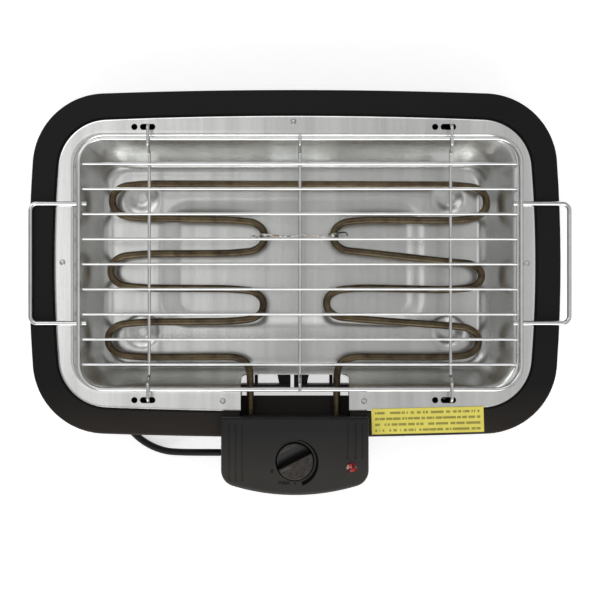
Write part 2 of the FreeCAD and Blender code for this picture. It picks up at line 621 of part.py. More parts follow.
# ---- Control box -------------------------------------------------------------------------------------
def box_outline(inset, z, rear_y=box_rear_y):
    """The box seen from above: straight rear and sides, and a bowed front that runs into the corners."""
    w = box_side - inset
    r = BOX_CORNER_R - inset if inset < BOX_CORNER_R - 2 else 2.0
    front_r = box_front_r - inset
    centre = V(0, box_front_y + box_front_r, 0)
    cx = w - r
    cy = centre.y - math.sqrt((front_r - r) ** 2 - cx ** 2)
    touch = centre + (V(cx, cy, 0) - centre).normalize() * front_r
    mid = V(cx, cy, 0) + (X_AXIS + (V(cx, cy, 0) - centre).normalize()).normalize() * r
    rear = rear_y - inset

    def at(p, sx):
        return V(sx * p.x, p.y, z)

    side = V(w, cy, 0)
    edges = [Part.LineSegment(V(-w, rear, z), V(w, rear, z)), Part.LineSegment(V(w, rear, z), at(side, 1)),
             Part.Arc(at(side, 1), at(mid, 1), at(touch, 1)),
             Part.Arc(at(touch, 1), V(0, centre.y - front_r, z), at(touch, -1)),
             Part.Arc(at(touch, -1), at(mid, -1), at(side, -1)),
             Part.LineSegment(at(side, -1), V(-w, rear, z))]
    return Part.Wire([e.toShape() for e in edges])


box_back_y = base_front - SKIRT_FLARE - SKIRT_GAP
cover_low = BASE_HEIGHT + RIM_GAP
boss_places = [(sx * (box_side - 6.6), box_rear_y - 28.5) for sx in (-1, 1)]
boss_places += [(sx * 25.0, box_front_y + 8.2) for sx in (-1, 1)]
bracket_x = KNOB_R + 8.8
bracket_z = box_top - 19.6
neck_half = CHANNEL_WIDTH / 2 - NECK_GAP
neck_low = channel_floor + NECK_LIFT
neck_wall = 2.0


def housing_cover():
    body = raise_wire(box_outline(0, box_split), box_top - box_split)
    body = body.makeFillet(BOX_EDGE_R, [e for e in body.Edges if e.BoundBox.ZMin > box_top - 0.01])
    inner = raise_wire(box_outline(BOX_WALL, box_split - 1), box_top - BOX_WALL - box_split + 1)
    cover = body.cut(inner)
    cover = cover.cut(block(-BOX_WIDTH, BOX_WIDTH, box_back_y - 0.1, 0, box_split - 2, cover_low))
    well_floor = box_top - KNOB_WELL_DEPTH
    cup = rod(0, knob_y, well_floor - BOX_WALL, box_top - 1, KNOB_R + KNOB_GAP + 2)
    bosses = [rod(x, y, box_split + 0.1, box_top - 1, 3.4) for x, y in boss_places]
    bosses += [rod(sx * bracket_x, knob_y, bracket_z + 1.3, box_top - 1, 3.4) for sx in (-1, 1)]
    cover = fuse(cover, cup, *bosses)
    cover = cover.cut(rod(0, knob_y, well_floor, box_top + 1, KNOB_R + KNOB_GAP))
    cover = cover.cut(rod(0, knob_y, well_floor - 5, well_floor + 1, SPINDLE_R + 0.6))
    cover = cover.cut(rod(lens_x, lens_y, box_top - 5, box_top + 1, LENS_R - 0.9))
    for x, y in boss_places:
        cover = cover.cut(rod(x, y, box_split - 1, box_split + 12, 1.4 + RUNNING))
    for sx in (-1, 1):
        cover = cover.cut(rod(sx * bracket_x, knob_y, bracket_z, bracket_z + 10, 1.2 + RUNNING))
    grooves = [(inset - box_side, GROOVE_END_LEFT) for inset in GROOVE_INSETS_LEFT]
    grooves += [(box_side - inset, GROOVE_END_RIGHT) for inset in GROOVE_INSETS_RIGHT]
    for x, end in grooves:
        cover = cover.cut(block(x - GROOVE_WIDTH / 2, x + GROOVE_WIDTH / 2, box_rear_y - end,
                                box_rear_y - GROOVE_START, box_top - GROOVE_DEPTH, box_top + 1))
    return cover


def housing_base():
    shelf = raise_wire(box_outline(0, box_split - BOX_WALL, box_back_y), BOX_WALL)
    tub = raise_wire(box_outline(TUB_INSET, box_bottom, box_back_y + TUB_INSET), box_split - box_bottom)
    low = [e for e in tub.Edges if e.BoundBox.ZMax < box_bottom + 0.01]
    tub = tub.makeFillet(1.5, low)
    hollow = raise_wire(box_outline(TUB_INSET + BOX_WALL, box_bottom + BOX_WALL, box_back_y + TUB_INSET),
                        box_top)
    back_half = box_side - BOX_WALL - 0.3
    back = block(-back_half, back_half, box_back_y - BOX_WALL, box_back_y, box_split - 1, cover_low - 0.3)
    neck = block(-neck_half, neck_half, box_back_y - BOX_WALL, box_rear_y - 0.5, neck_low, cover_low - 0.3)
    room = block(-neck_half + neck_wall, neck_half - neck_wall, box_back_y - BOX_WALL - 1,
                 box_rear_y - 0.5 - neck_wall, neck_low + neck_wall, box_top)
    body = fuse(shelf, tub, back, neck).cut(hollow).cut(room)
    posts = [rod(relief_post_x, relief_y + sy * CLAMP_SPREAD, box_bottom + 1, relief_z - 0.2, 2.1)
             for sy in (-1, 1)]
    body = fuse(body, *posts)
    for x, y in boss_places:
        body = body.cut(rod(x, y, box_split - 6, box_split + 1, 1.7))
    for x in legs_x:
        body = body.cut(Part.makeCylinder(FERRULE_R + 0.1, 8.0, V(x, box_rear_y + 2, element_z), V(0, -1, 0)))
    body = body.cut(rod(0, plunger_y, neck_low - 1, neck_low + neck_wall + 1, PLUNGER_R + RUNNING))
    wall_x = TUB_INSET - box_side
    body = body.cut(Part.makeCylinder(4.6, 6.0, V(wall_x - 1, relief_y, relief_z), X_AXIS))
    for sy in (-1, 1):
        body = body.cut(rod(relief_post_x, relief_y + sy * CLAMP_SPREAD, box_bottom + 3, relief_z,
                            1.2 + RUNNING))
    return body


keep("control_housing_cover", housing_cover())
keep("control_housing_base", housing_base())
keep("housing_screws", Part.makeCompound([
    screw(x, y, box_split - BOX_WALL, box_split + 11, 1.4, 2.7, 1.8) for x, y in boss_places]))

# Swaged rings and the steel plate that carry the element's legs inside the neck
plate_y = box_rear_y - 0.5 - neck_wall
ferrule_tube = [Part.makeCylinder(FERRULE_R, FERRULE_LENGTH, V(x, box_rear_y - FERRULE_INSET, element_z), V(0, -1, 0))
                for x in legs_x]
keep("element_ferrules", Part.makeCompound([
    ring.cut(Part.makeCylinder(element_r + 0.03, 12, V(x, box_rear_y + 4, element_z), V(0, -1, 0)))
    for ring, x in zip(ferrule_tube, legs_x)]))
plate = block(-neck_half + neck_wall + 0.4, neck_half - neck_wall - 0.4, plate_y - 3.0, plate_y - 1.8,
              neck_low + neck_wall + 0.3, element_z + PLATE_RISE)
for x in legs_x:
    plate = plate.cut(Part.makeCylinder(element_r + 0.03, 6, V(x, plate_y, element_z), V(0, -1, 0)))
keep("element_plate", plate)


# ---- Knob, spindle and thermostat --------------------------------------------------------------------
def control_knob():
    """A round knob with a flat half and a sunk half: the step between them is the finger grip."""
    well_floor = box_top - KNOB_WELL_DEPTH
    low = well_floor + 0.5
    body = rod(0, 0, low, knob_top, KNOB_R)
    body = body.makeFillet(0.8, [e for e in body.Edges if e.BoundBox.ZMin > knob_top - 0.01])
    wedge = Part.Face(Part.makePolygon([
        V(-30, 0, knob_top - GRIP_DEPTH), V(-30, KNOB_R - 1.5, knob_top), V(-30, KNOB_R + 5, knob_top + 5),
        V(-30, 0, knob_top + 5), V(-30, 0, knob_top - GRIP_DEPTH)])).extrude(V(60, 0, 0))
    pointer = block(-KNOB_R + 1.2, -5.5, -2.6, -1.6, knob_top - 0.5, knob_top + 1)
    body = body.cut(wedge).cut(pointer)
    bore = rod(0, 0, low - 1, low + 1.6, SPINDLE_R + RUNNING)
    body = body.cut(bore)
    body.rotate(V(0, 0, 0), Z_AXIS, RIDGE_ANGLE)
    body.translate(V(0, knob_y, 0))
    return body


keep("control_knob", control_knob())
spindle_top = box_top - KNOB_WELL_DEPTH + 2.0
keep("thermostat_spindle", rod(0, knob_y, bracket_z - 1.6, spindle_top, SPINDLE_R))
thermostat_top = bracket_z - 0.05
body = block(-15, 15, knob_y - 11, knob_y + 11, thermostat_top - 16, thermostat_top)
body = body.makeFillet(1.5, [e for e in body.Edges if e.BoundBox.ZLength > 10])
keep("thermostat_body", body.cut(rod(0, knob_y, bracket_z - 2, bracket_z + 1, SPINDLE_R + RUNNING)))
bracket = block(-bracket_x - 4, bracket_x + 4, knob_y - 8, knob_y + 8, bracket_z, bracket_z + 1.2)
bracket = bracket.cut(rod(0, knob_y, bracket_z - 1, bracket_z + 2, SPINDLE_R + 1.0))
for sx in (-1, 1):
    bracket = bracket.cut(rod(sx * bracket_x, knob_y, bracket_z - 1, bracket_z + 2, 1.4))
keep("thermostat_bracket", bracket)
keep("thermostat_screws", Part.makeCompound([
    screw(sx * bracket_x, knob_y, bracket_z, bracket_z + 9, 1.2, 2.6, 1.5) for sx in (-1, 1)]))

# ---- Pilot light, safety switch and its plunger ------------------------------------------------------
lens = Part.makeCone(LENS_R, LENS_R * 0.55, 2.4, V(lens_x, lens_y, box_top + 0.02))
lens = fuse(lens, rod(lens_x, lens_y, box_top - 7, box_top + 0.02, LENS_R - 1.0))
keep("pilot_lens", lens)
keep("neon_lamp", fuse(rod(lens_x, lens_y, box_top - 21, box_top - 9, 2.2),
                       Part.makeSphere(2.2, V(lens_x, lens_y, box_top - 9.4))))
switch_low = neck_low + neck_wall + 7.0
keep("safety_switch", block(-10, 10, plunger_y - 3.2, plunger_y + 3.2, switch_low, switch_low + 10))
collar_z = neck_low + neck_wall + 0.3
keep("switch_plunger", fuse(rod(0, plunger_y, channel_floor + BODY_GAP, switch_low - 2.5, PLUNGER_R),
                            rod(0, plunger_y, collar_z, collar_z + 1.2, 3.2)))

# ---- Cord entry and wiring inside the box ------------------------------------------------------------
wall_x = TUB_INSET - box_side
keep("cord_strain_relief", turned_x([(relief_tip_x, 4.1), (wall_x - 0.3, 5.6), (wall_x - 0.3, 4.5),
                                     (wall_x + BOX_WALL + 0.3, 4.5), (wall_x + BOX_WALL + 0.3, 5.2),
                                     (wall_x + BOX_WALL + 2.0, 5.2), (wall_x + BOX_WALL + 2.0, 3.4),
                                     (sheath_end_x, 3.4)], relief_y, relief_z))
clamp = block(relief_post_x - 2.8, relief_post_x + 2.8, relief_y - 7.2, relief_y + 7.2, relief_z - 0.1,
              relief_z + 6)
clamp = clamp.cut(Part.makeCylinder(3.45, 12, V(relief_post_x - 6, relief_y, relief_z), X_AXIS))
for sy in (-1, 1):
    clamp = clamp.cut(rod(relief_post_x, relief_y + sy * CLAMP_SPREAD, relief_z - 1, relief_z + 7, 1.3))
keep("cord_clamp", clamp)
keep("cord_clamp_screws", Part.makeCompound([
    screw(relief_post_x, relief_y + sy * CLAMP_SPREAD, relief_z + 6, box_bottom + 4, 1.2, 2.0, 1.6, up=False)
    for sy in (-1, 1)]))
block_body = block(-2, 26, relief_y - 8, relief_y + 6, box_bottom + BOX_WALL + 0.1, box_bottom + 14)
for i in range(3):
    block_body = block_body.cut(rod(3 + 9 * i, relief_y - 1, box_bottom + 9, box_bottom + 16, 2.2))
keep("terminal_block", block_body)

WIRE_D = 2.0
WIRE_SPREAD = 2.3
sheath_end = sheath_end_x + 0.1
live_y, neutral_y = relief_y + WIRE_SPREAD, relief_y - WIRE_SPREAD
high_z, low_z = relief_z + 1.0, relief_z - 1.8
thermostat_z = bracket_z - 8.4
crossing_z = box_split - 4.0
wires = {
    "wire_live": [(sheath_end, live_y, high_z), (sheath_end + 8.9, live_y, high_z),
                  (sheath_end + 8.9, live_y, thermostat_z), (-15.2, live_y, thermostat_z)],
    "wire_neutral": [(sheath_end, neutral_y, high_z), (sheath_end + 4.7, neutral_y, high_z),
                     (sheath_end + 4.7, neutral_y, crossing_z), (LEG_RIGHT_X, neutral_y, crossing_z),
                     (LEG_RIGHT_X, neutral_y, element_z), (LEG_RIGHT_X, pin_end - 0.3, element_z)],
    "wire_earth": [(sheath_end, relief_y, low_z), (sheath_end + 2.3, relief_y, low_z),
                   (sheath_end + 2.3, relief_y, element_z + 6.0), (-33.5, plate_y - 3.2, element_z + 6.0)],
    "wire_switched": [(-15.2, knob_y + 6, thermostat_z - 4.0), (LEG_LEFT_X, knob_y + 6, element_z),
                      (LEG_LEFT_X, pin_end - 0.3, element_z)],
}
for name, points in wires.items():
    runs = [(V(*b) - V(*a)).Length for a, b in zip(points, points[1:])]
    bends = [min(4.0, 0.45 * min(a, b)) for a, b in zip(runs, runs[1:])]
    keep(name, bent_rod(points, bends, WIRE_D)[0])

# ---- Mains cord and plug -----------------------------------------------------------------------------
LEAD_ROUTE = [
    (relief_tip_x - BODY_GAP, relief_y, relief_z),
    (-84.5, relief_y, relief_z),
    (-103.5, -172.9, 13.4),
    (-122.5, -173.2, 5.4),
    (-141.5, -165.5, CORD_Z),
    (-157.0, -151.0, CORD_Z),
    (-166.5, -131.0, CORD_Z),
    (-171.5, -109.0, CORD_Z),
    (-173.0, -87.0, CORD_Z),
    (-173.6, -66.0, CORD_Z),
    (-172.8, -46.0, CORD_Z),
]
coil_out_r = COIL_MID_R + COIL_SIDE_BY_SIDE * CORD_D / 2
coil_in_r = COIL_MID_R - COIL_SIDE_BY_SIDE * CORD_D / 2
outer_turn_r = coil_out_r - CORD_D / 2
coil_top = COIL_LAYERS * CORD_D + 0.1
tail_z = coil_top - CORD_D / 2
tail_y = COIL_Y + outer_turn_r + 4.0
plug_z = PLUG_R + 0.1
TAIL_ROUTE = [
    (COIL_X, tail_y, tail_z),
    (COIL_X + 19.0, tail_y + 0.6, tail_z + 0.2),
    (PLUG_X - 17.0, tail_y + 1.0, plug_z),
    (PLUG_X, tail_y + 1.0, plug_z),
]
cords = {"power_cord_lead": LEAD_ROUTE, "power_cord_tail": TAIL_ROUTE}
coil_length = COIL_LAYERS * COIL_SIDE_BY_SIDE * 2 * math.pi * COIL_MID_R
cord_length = coil_length
for name, route in cords.items():
    radii = roomy_radii(route)
    tube, length = bent_rod(route, radii, CORD_D)
    keep(name, tube)
    cord_length += length
    print(name, "radii", [round(r, 1) for r in radii], "length", round(length, 1),
          "volume share", round(tube.Volume / (math.pi * CORD_D ** 2 / 4 * length), 4))
print("cord length with full turns", round(cord_length, 1), "element length", round(element_length, 1))
coil = rod(COIL_X, COIL_Y, 0.1, coil_top, coil_out_r).cut(rod(COIL_X, COIL_Y, -1, coil_top + 1, coil_in_r))
keep("power_cord_coil", coil)

plug_y = TAIL_ROUTE[-1][1]
plug_face = PLUG_X + 30 + PLUG_LENGTH
keep("mains_plug_body", turned_x([(PLUG_X, 4.6), (PLUG_X + 22, 6.4), (PLUG_X + 30, 14.0),
                                  (PLUG_X + 38, PLUG_R - 1.5), (plug_face - 18, PLUG_R - 1.5),
                                  (plug_face - 16, PLUG_R), (plug_face, PLUG_R)], plug_y, plug_z))
pins = []
for sy in (-1, 1):
    pin = Part.makeCylinder(PIN_R, PIN_LENGTH, V(plug_face + 0.02, plug_y + sy * PIN_SPREAD, plug_z), X_AXIS)
    pins.append(pin.makeFillet(1.6, [e for e in pin.Edges if e.BoundBox.XMin > plug_face + PIN_LENGTH - 0.5]))
keep("mains_plug_pins", Part.makeCompound(pins))

# ---- Move the whole to the middle of its footprint and write it --------------------------------------
cord_nodes = {"power_cord_lead", "power_cord_tail", "power_cord_coil", "mains_plug_body", "mains_plug_pins"}
whole = Part.makeCompound([shape for name, shape in nodes.items() if name not in cord_nodes])
whole = whole.optimalBoundingBox(False, False)
origin = V((whole.XMin + whole.XMax) / 2, (whole.YMin + whole.YMax) / 2, whole.ZMin)
print("footprint middle from base middle", round(origin.x, 3), round(origin.y, 3), "low", round(origin.z, 4),
      "size", round(whole.XLength, 2), round(whole.YLength, 2), round(whole.ZLength, 2))
os.makedirs("parts", exist_ok=True)
for name, shape in nodes.items():
    moved = shape.copy()
    moved.translate(-origin)
    solids = len(moved.Solids)
    print("%-26s solids %d valid %s volume %.1f" % (name, solids, moved.isValid(), moved.Volume))
    moved.exportStep("parts/" + name + ".step")
print(len(nodes), "nodes")
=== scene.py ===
import math
import random

import bmesh
import bpy
from mathutils import Matrix, Vector, noise


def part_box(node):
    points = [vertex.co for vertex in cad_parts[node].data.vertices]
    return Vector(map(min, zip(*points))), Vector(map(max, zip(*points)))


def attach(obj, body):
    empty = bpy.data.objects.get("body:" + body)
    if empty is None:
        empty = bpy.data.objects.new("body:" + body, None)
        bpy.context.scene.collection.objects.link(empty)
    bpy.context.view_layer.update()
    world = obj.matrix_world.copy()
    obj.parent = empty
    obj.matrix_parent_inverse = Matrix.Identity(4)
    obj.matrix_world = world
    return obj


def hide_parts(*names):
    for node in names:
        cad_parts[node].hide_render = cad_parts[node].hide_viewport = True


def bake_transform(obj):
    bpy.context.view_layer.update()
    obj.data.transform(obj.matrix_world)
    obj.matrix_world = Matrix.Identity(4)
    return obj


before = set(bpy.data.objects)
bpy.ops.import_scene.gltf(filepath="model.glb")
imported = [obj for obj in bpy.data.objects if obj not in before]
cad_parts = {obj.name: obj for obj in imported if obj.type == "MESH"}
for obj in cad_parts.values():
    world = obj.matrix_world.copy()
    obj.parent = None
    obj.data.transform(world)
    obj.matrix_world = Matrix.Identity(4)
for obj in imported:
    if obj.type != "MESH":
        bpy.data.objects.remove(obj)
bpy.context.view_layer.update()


# ---- Table top, studio light and camera ----------------------------------------------------------------
# The grill stands on a plain pale table under a broad soft light that is a little stronger from its left,
# and it is seen from straight above.
base_low, base_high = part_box("base_shell")
base_middle = (base_low + base_high) / 2


def at(x, y, z=0.0):
    """A place measured from the middle of the base, with z from the table top."""
    return Vector((base_middle.x + x, base_middle.y + y, z))


def maker(tree):
    """Gives make(kind, inputs, settings), which adds a shader node to tree and links inputs that are sockets."""
    def make(kind, inputs=None, **settings):
        node = tree.nodes.new("ShaderNode" + kind)
        for key, value in settings.items():
            setattr(node, key, value)
        for key, value in (inputs or {}).items():
            if isinstance(value, bpy.types.NodeSocket):
                tree.links.new(value, node.inputs[key])
            else:
                node.inputs[key].default_value = value
        return node

    return make


def finish(name):
    """A new material, make(kind, inputs, settings) for its nodes, and use(inputs) for its shader."""
    material = bpy.data.materials.new(name)
    material.use_nodes = True
    tree = material.node_tree
    shader = tree.nodes["Principled BSDF"]

    def use(**inputs):
        for key, value in inputs.items():
            socket = shader.inputs[key.replace("_", " ")]
            if isinstance(value, bpy.types.NodeSocket):
                tree.links.new(value, socket)
            else:
                socket.default_value = value

    return material, maker(tree), use


def places(make, stretch=(1, 1, 1)):
    """Where a point of the piece is, in metres, stretched along each axis."""
    coordinates = make("TexCoord")
    return make("Mapping", {"Vector": coordinates.outputs["Object"], "Scale": stretch}).outputs["Vector"]


def speckle(make, where, scale, detail=3.0, rough=0.6):
    """Noise from 0 to 1, scale spots to the metre."""
    settings = {"Vector": where, "Scale": scale, "Detail": detail, "Roughness": rough}
    return make("TexNoise", settings).outputs["Fac"]


def grey(level):
    return (level, level, level)


def blend_of(make, share, stops):
    """A colour ramp: stops is a list of (position, colour)."""
    ramp = make("ValToRGB", {"Fac": share})
    points = ramp.color_ramp.elements
    while len(points) < len(stops):
        points.new(0.5)
    for point, (position, colour) in zip(points, stops):
        point.position = position
        point.color = (*colour, 1.0)
    return ramp.outputs["Color"]


def spread(make, share, low, high):
    """Stretches a share from 0 to 1 over low to high."""
    return make("MapRange", {"Value": share, "To Min": low, "To Max": high}).outputs["Result"]


def relief(make, height, depth, strength=1.0, under=None):
    """A normal with the bumps of height, depth deep, on top of the bumps in under."""
    inputs = {"Height": height, "Distance": depth, "Strength": strength}
    if under:
        inputs["Normal"] = under
    return make("Bump", inputs).outputs["Normal"]


def piece(name, mesh_maker, material, body=None, smooth_under=35.0):
    """A new object whose mesh mesh_maker fills in, with edges sharp where faces meet at over smooth_under."""
    mesh = bpy.data.meshes.new(name)
    bm = bmesh.new()
    mesh_maker(bm)
    bmesh.ops.recalc_face_normals(bm, faces=bm.faces)
    bm.to_mesh(mesh)
    bm.free()
    mesh.polygons.foreach_set("use_smooth", [True] * len(mesh.polygons))
    mesh.set_sharp_from_angle(angle=math.radians(smooth_under))
    made = bpy.data.objects.new(name, mesh)
    bpy.context.scene.collection.objects.link(made)
    mesh.materials.append(material)
    if body:
        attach(made, body)
    return made


TABLE_SIZE = 8.0


def table_finish():
    material, make, use = finish("pale_table")
    where = places(make)
    colour = blend_of(make, speckle(make, where, 40.0), [(0.3, grey(0.90)), (0.7, grey(0.93))])
    use(Base_Color=colour, Roughness=0.9, Specular_IOR_Level=0.1, Emission_Color=(1.0, 1.0, 1.0, 1.0),
        Emission_Strength=0.55)
    return material


def table_mesh(bm):
    bmesh.ops.create_grid(bm, x_segments=8, y_segments=8, size=TABLE_SIZE / 2)


piece("table_top", table_mesh, table_finish())

world = bpy.data.worlds.new("studio")
bpy.context.scene.world = world
world.use_nodes = True
sky = world.node_tree
background = sky.nodes["Background"]
sky_node = maker(sky)

SOFTBOXES = (  # the way to each, the cosine at its edge and at its full strength, and that strength
    ((-0.195, 0.02, 0.980), 0.982, 0.9993, 0.80),
    ((-0.50, 0.00, 0.866), 0.957, 0.995, -0.34),
    ((0.53, 0.00, 0.85), 0.90, 0.99, 0.20),
    ((0.00, 0.60, 0.80), 0.955, 0.995, 1.20),
    ((0.00, -0.88, 0.48), 0.86, 0.985, 2.40),
    ((0.00, 0.90, 0.42), 0.78, 0.97, -0.26),
)
AMBIENT = 0.45
BACKDROP = 0.9  # what the camera itself sees behind the table
HORIZON_LOW, HORIZON_HIGH, HORIZON_DIM = 0.02, 0.27, 0.15  # reflections dim towards the horizon
direction = sky_node("TexCoord").outputs["Generated"]
glow = AMBIENT
for stand, edge, full, strength in SOFTBOXES:
    stand = Vector(stand).normalized()
    facing = sky_node("VectorMath", {0: direction, 1: stand}, operation="DOT_PRODUCT").outputs["Value"]
    patch = sky_node("MapRange", {"Value": facing, "From Min": edge, "From Max": full, "To Max": strength},
                     interpolation_type="SMOOTHSTEP").outputs["Result"]
    glow = sky_node("Math", {0: patch, 1: glow}, operation="ADD").outputs["Value"]
level = sky_node("SeparateXYZ", {"Vector": direction}).outputs["Z"]
above = sky_node("MapRange", {"Value": level, "From Min": HORIZON_LOW, "From Max": HORIZON_HIGH,
                              "To Min": HORIZON_DIM}, interpolation_type="SMOOTHSTEP").outputs["Result"]
glow = sky_node("Math", {0: above, 1: glow}, operation="MULTIPLY").outputs["Value"]
seen = sky_node("LightPath").outputs["Is Camera Ray"]
glow = sky_node("MapRange", {"Value": seen, "To Min": glow, "To Max": BACKDROP}).outputs["Result"]
sky.links.new(glow, background.inputs["Strength"])
background.inputs["Color"].default_value = (1.0, 1.0, 1.0, 1.0)

KEY_PLACE, KEY_SIZE, KEY_POWER = at(-0.9, 0.8, 1.3), 0.9, 3.0
key = bpy.data.lights.new("key_softbox", "AREA")
key.size = KEY_SIZE
key.energy = KEY_POWER
key_light = bpy.data.objects.new("key_softbox", key)
key_light.location = KEY_PLACE
key_light.rotation_euler = (at(0, 0) - KEY_PLACE).to_track_quat("-Z", "Y").to_euler()
bpy.context.scene.collection.objects.link(key_light)
bpy.context.scene.view_settings.view_transform = "Standard"

GRATE_HEIGHT = 0.087
CAMERA_X, CAMERA_Y, CAMERA_HEIGHT = 0.0044, -0.0316, 0.987
VIEW_WIDTH = 0.5148  # what the picture takes in at the grate's height
camera_data = bpy.data.cameras.new("camera")
camera_data.angle = 2 * math.atan(VIEW_WIDTH / 2 / (CAMERA_HEIGHT - GRATE_HEIGHT))
camera = bpy.data.objects.new("camera", camera_data)
camera.location = at(CAMERA_X, CAMERA_Y, CAMERA_HEIGHT)
bpy.context.scene.collection.objects.link(camera)
bpy.context.scene.camera = camera


# ---- Base shell ----------------------------------------------------------------------------------------
# One deep moulding of black heat-resistant plastic with a satin spark-eroded face, open underneath. The
# tray lies on its ledge and the knob box hooks over its front.
def moulded_plastic(name, colour, roughness, grain=0.00012, grain_scale=1500.0, gloss=0.28):
    """Moulded plastic with a fine grain: a little lighter and duller in patches."""
    material, make, use = finish(name)
    where = places(make)
    patches = speckle(make, where, 9.0, 4.0)
    dark = tuple(c * 0.82 for c in colour)
    light = tuple(c * 1.25 for c in colour)
    fine = speckle(make, where, grain_scale, 2.0)
    use(Base_Color=blend_of(make, patches, [(0.35, dark), (0.65, light)]),
        Roughness=spread(make, patches, roughness - 0.06, roughness + 0.06),
        Normal=relief(make, fine, grain, 0.35), Specular_IOR_Level=gloss)
    return material


def times(make, colour, other):
    """One colour multiplied by another."""
    return make("Mix", {"Factor": 1.0, "A": colour, "B": other}, data_type="RGBA",
                blend_type="MULTIPLY").outputs["Result"]


def turning(make, share, colour, other):
    """A colour that turns to the other as share rises from 0 to 1."""
    return make("Mix", {"Factor": share, "A": colour, "B": other}, data_type="RGBA").outputs["Result"]


def along(make, axis, start, end, low=0.0, high=1.0):
    """A value that goes from low to high as the place along axis goes from start to end."""
    place = make("SeparateXYZ", {"Vector": places(make)}).outputs[axis]
    return make("MapRange", {"Value": place, "From Min": start, "From Max": end, "To Min": low,
                             "To Max": high}).outputs["Result"]


def coat(material, *nodes):
    """Gives the frame's own nodes a finish."""
    for name in nodes:
        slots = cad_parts[name].material_slots
        for slot in slots:
            slot.material = material
        if not slots:
            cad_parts[name].data.materials.append(material)


def shell_plastic():
    """The shell's plastic, a little lighter and warmer towards its front."""
    material, make, use = finish("base_plastic")
    where = places(make)
    patches = speckle(make, where, 9.0, 4.0)
    forward = along(make, "Y", base_low.y + 0.05, base_low.y)
    shade = turning(make, forward, (0.0062, 0.0062, 0.0062, 1.0), (0.0270, 0.0215, 0.0175, 1.0))
    wear = blend_of(make, patches, [(0.35, grey(0.85)), (0.65, grey(1.2))])
    use(Base_Color=times(make, shade, wear), Roughness=spread(make, patches, 0.42, 0.54),
        Specular_IOR_Level=0.2, Normal=relief(make, speckle(make, where, 1500.0, 2.0), 0.00012, 0.35))
    return material


coat(shell_plastic(), "base_shell")


# ---- Reflector tray ------------------------------------------------------------------------------------
# Pressed in one blow from bright sheet steel with a fine rolling grain from front to rear. Its sunken
# floor is darkened with painted shade, and small rivets through the flange hold it down on the base.
SHEET = 0.00072
FLANGE_TOP = 0.0788
FLANGE = (0.417, 0.2564, 0.0433, 0.00345)  # width, depth, corner radius, how far the sides bow out
WELL = (0.382, 0.218, 0.025)  # this and the next two: width, depth, corner radius
WELL_Y, WELL_EDGE_RUN = 0.0015, 0.0035
FLOOR = (0.338, 0.180, 0.018)
FLOOR_Y, FLOOR_DROP = -0.0014, 0.034
BEND_TOP, BEND_FOOT_IN, BEND_FOOT_OUT = 0.0022, 0.0055, 0.0065  # how far the wall's two bends run
PAN = (0.233, 0.113, 0.025)
PAN_LAST = (0.12, 0.012, 0.004)
PAN_X, PAN_Y = -0.0015, 0.0008
PAN_RUN, PAN_DROP, PAN_SOFT = 0.013, 0.003, 0.003
CUP_X, CUP_Y, CUP_R, CUP_DROP = 0.1375, 0.0597, 0.017, 0.0034
CORNER_POINTS, LONG_POINTS, SHORT_POINTS = 18, 90, 50
SLOT_LENGTH, SLOT_WIDTH, HOLE_R, SLOT_Y = 0.0134, 0.0053, 0.0027, 0.1183
SLOTS_X = (-0.1275, 0.1329)
HOLE_SHIFT = 0.0115
NOTCH_WIDTH, NOTCH_BOTTOM, NOTCH_R = 0.094, 0.0566, 0.006


def outline(width, depth, radius, bow=0.0, cx=0.0, cy=0.0):
    """Points round a rounded rectangle whose sides bow out, anticlockwise from the middle of its right side.
    Their number is the same for any size."""
    w, d, bow = width / 2, depth / 2, max(bow, 2e-6)
    side_r = ((d - radius) ** 2 + bow ** 2) / (2 * bow)
    end_r = ((w - radius) ** 2 + bow ** 2) / (2 * bow)
    right, top = w - side_r, d - end_r
    apart = math.hypot(right, top)
    reach = ((side_r - radius) ** 2 - (end_r - radius) ** 2 + apart ** 2) / (2 * apart)
    off = math.sqrt((side_r - radius) ** 2 - reach ** 2)
    ux, uy = -right / apart, top / apart
    corner_x, corner_y = max((right + ux * reach - uy * off * way, uy * reach + ux * off * way)
                             for way in (-1, 1))
    side_end = math.atan2(corner_y, corner_x - right)
    top_end = math.atan2(corner_y - top, corner_x)
    quarter = []
    for i in range(SHORT_POINTS // 2):
        turn = side_end * (i + 0.5) / (SHORT_POINTS // 2)
        quarter.append((right + side_r * math.cos(turn), side_r * math.sin(turn)))
    for i in range(CORNER_POINTS):
        turn = side_end + (top_end - side_end) * (i + 0.5) / CORNER_POINTS
        quarter.append((corner_x + radius * math.cos(turn), corner_y + radius * math.sin(turn)))
    for i in range(LONG_POINTS // 2):
        turn = top_end + (math.pi / 2 - top_end) * (i + 0.5) / (LONG_POINTS // 2)
        quarter.append((end_r * math.cos(turn), top + end_r * math.sin(turn)))
    around = quarter + [(-x, y) for x, y in quarter[::-1]]
    around += [(-x, -y) for x, y in around]
    return [(cx + x, cy + y) for x, y in around]


def mixed(a, b, share):
    return tuple(p + (q - p) * share for p, q in zip(a, b))


def bend(start, corner, end, count):
    """Points along a soft bend from start to end round a corner, in (run, drop)."""
    made = []
    for i in range(count + 1):
        t = i / count
        made.append(tuple((1 - t) ** 2 * s + 2 * t * (1 - t) * c + t * t * e
                          for s, c, e in zip(start, corner, end)))
    return made


def bridge(bm, rings, closed=True):
    """Faces from each ring of points to the next. Returns the rings' vertices."""
    rows = [[bm.verts.new(p) for p in ring] for ring in rings]
    count = len(rows[0])
    for a, b in zip(rows, rows[1:]):
        for i in range(count if closed else count - 1):
            j = (i + 1) % count
            bm.faces.new((a[i], a[j], b[j], b[i]))
    return rows


def prism(bm, low, high):
    """A solid between two rings of points."""
    for row in bridge(bm, (low, high)):
        bm.faces.new(row)


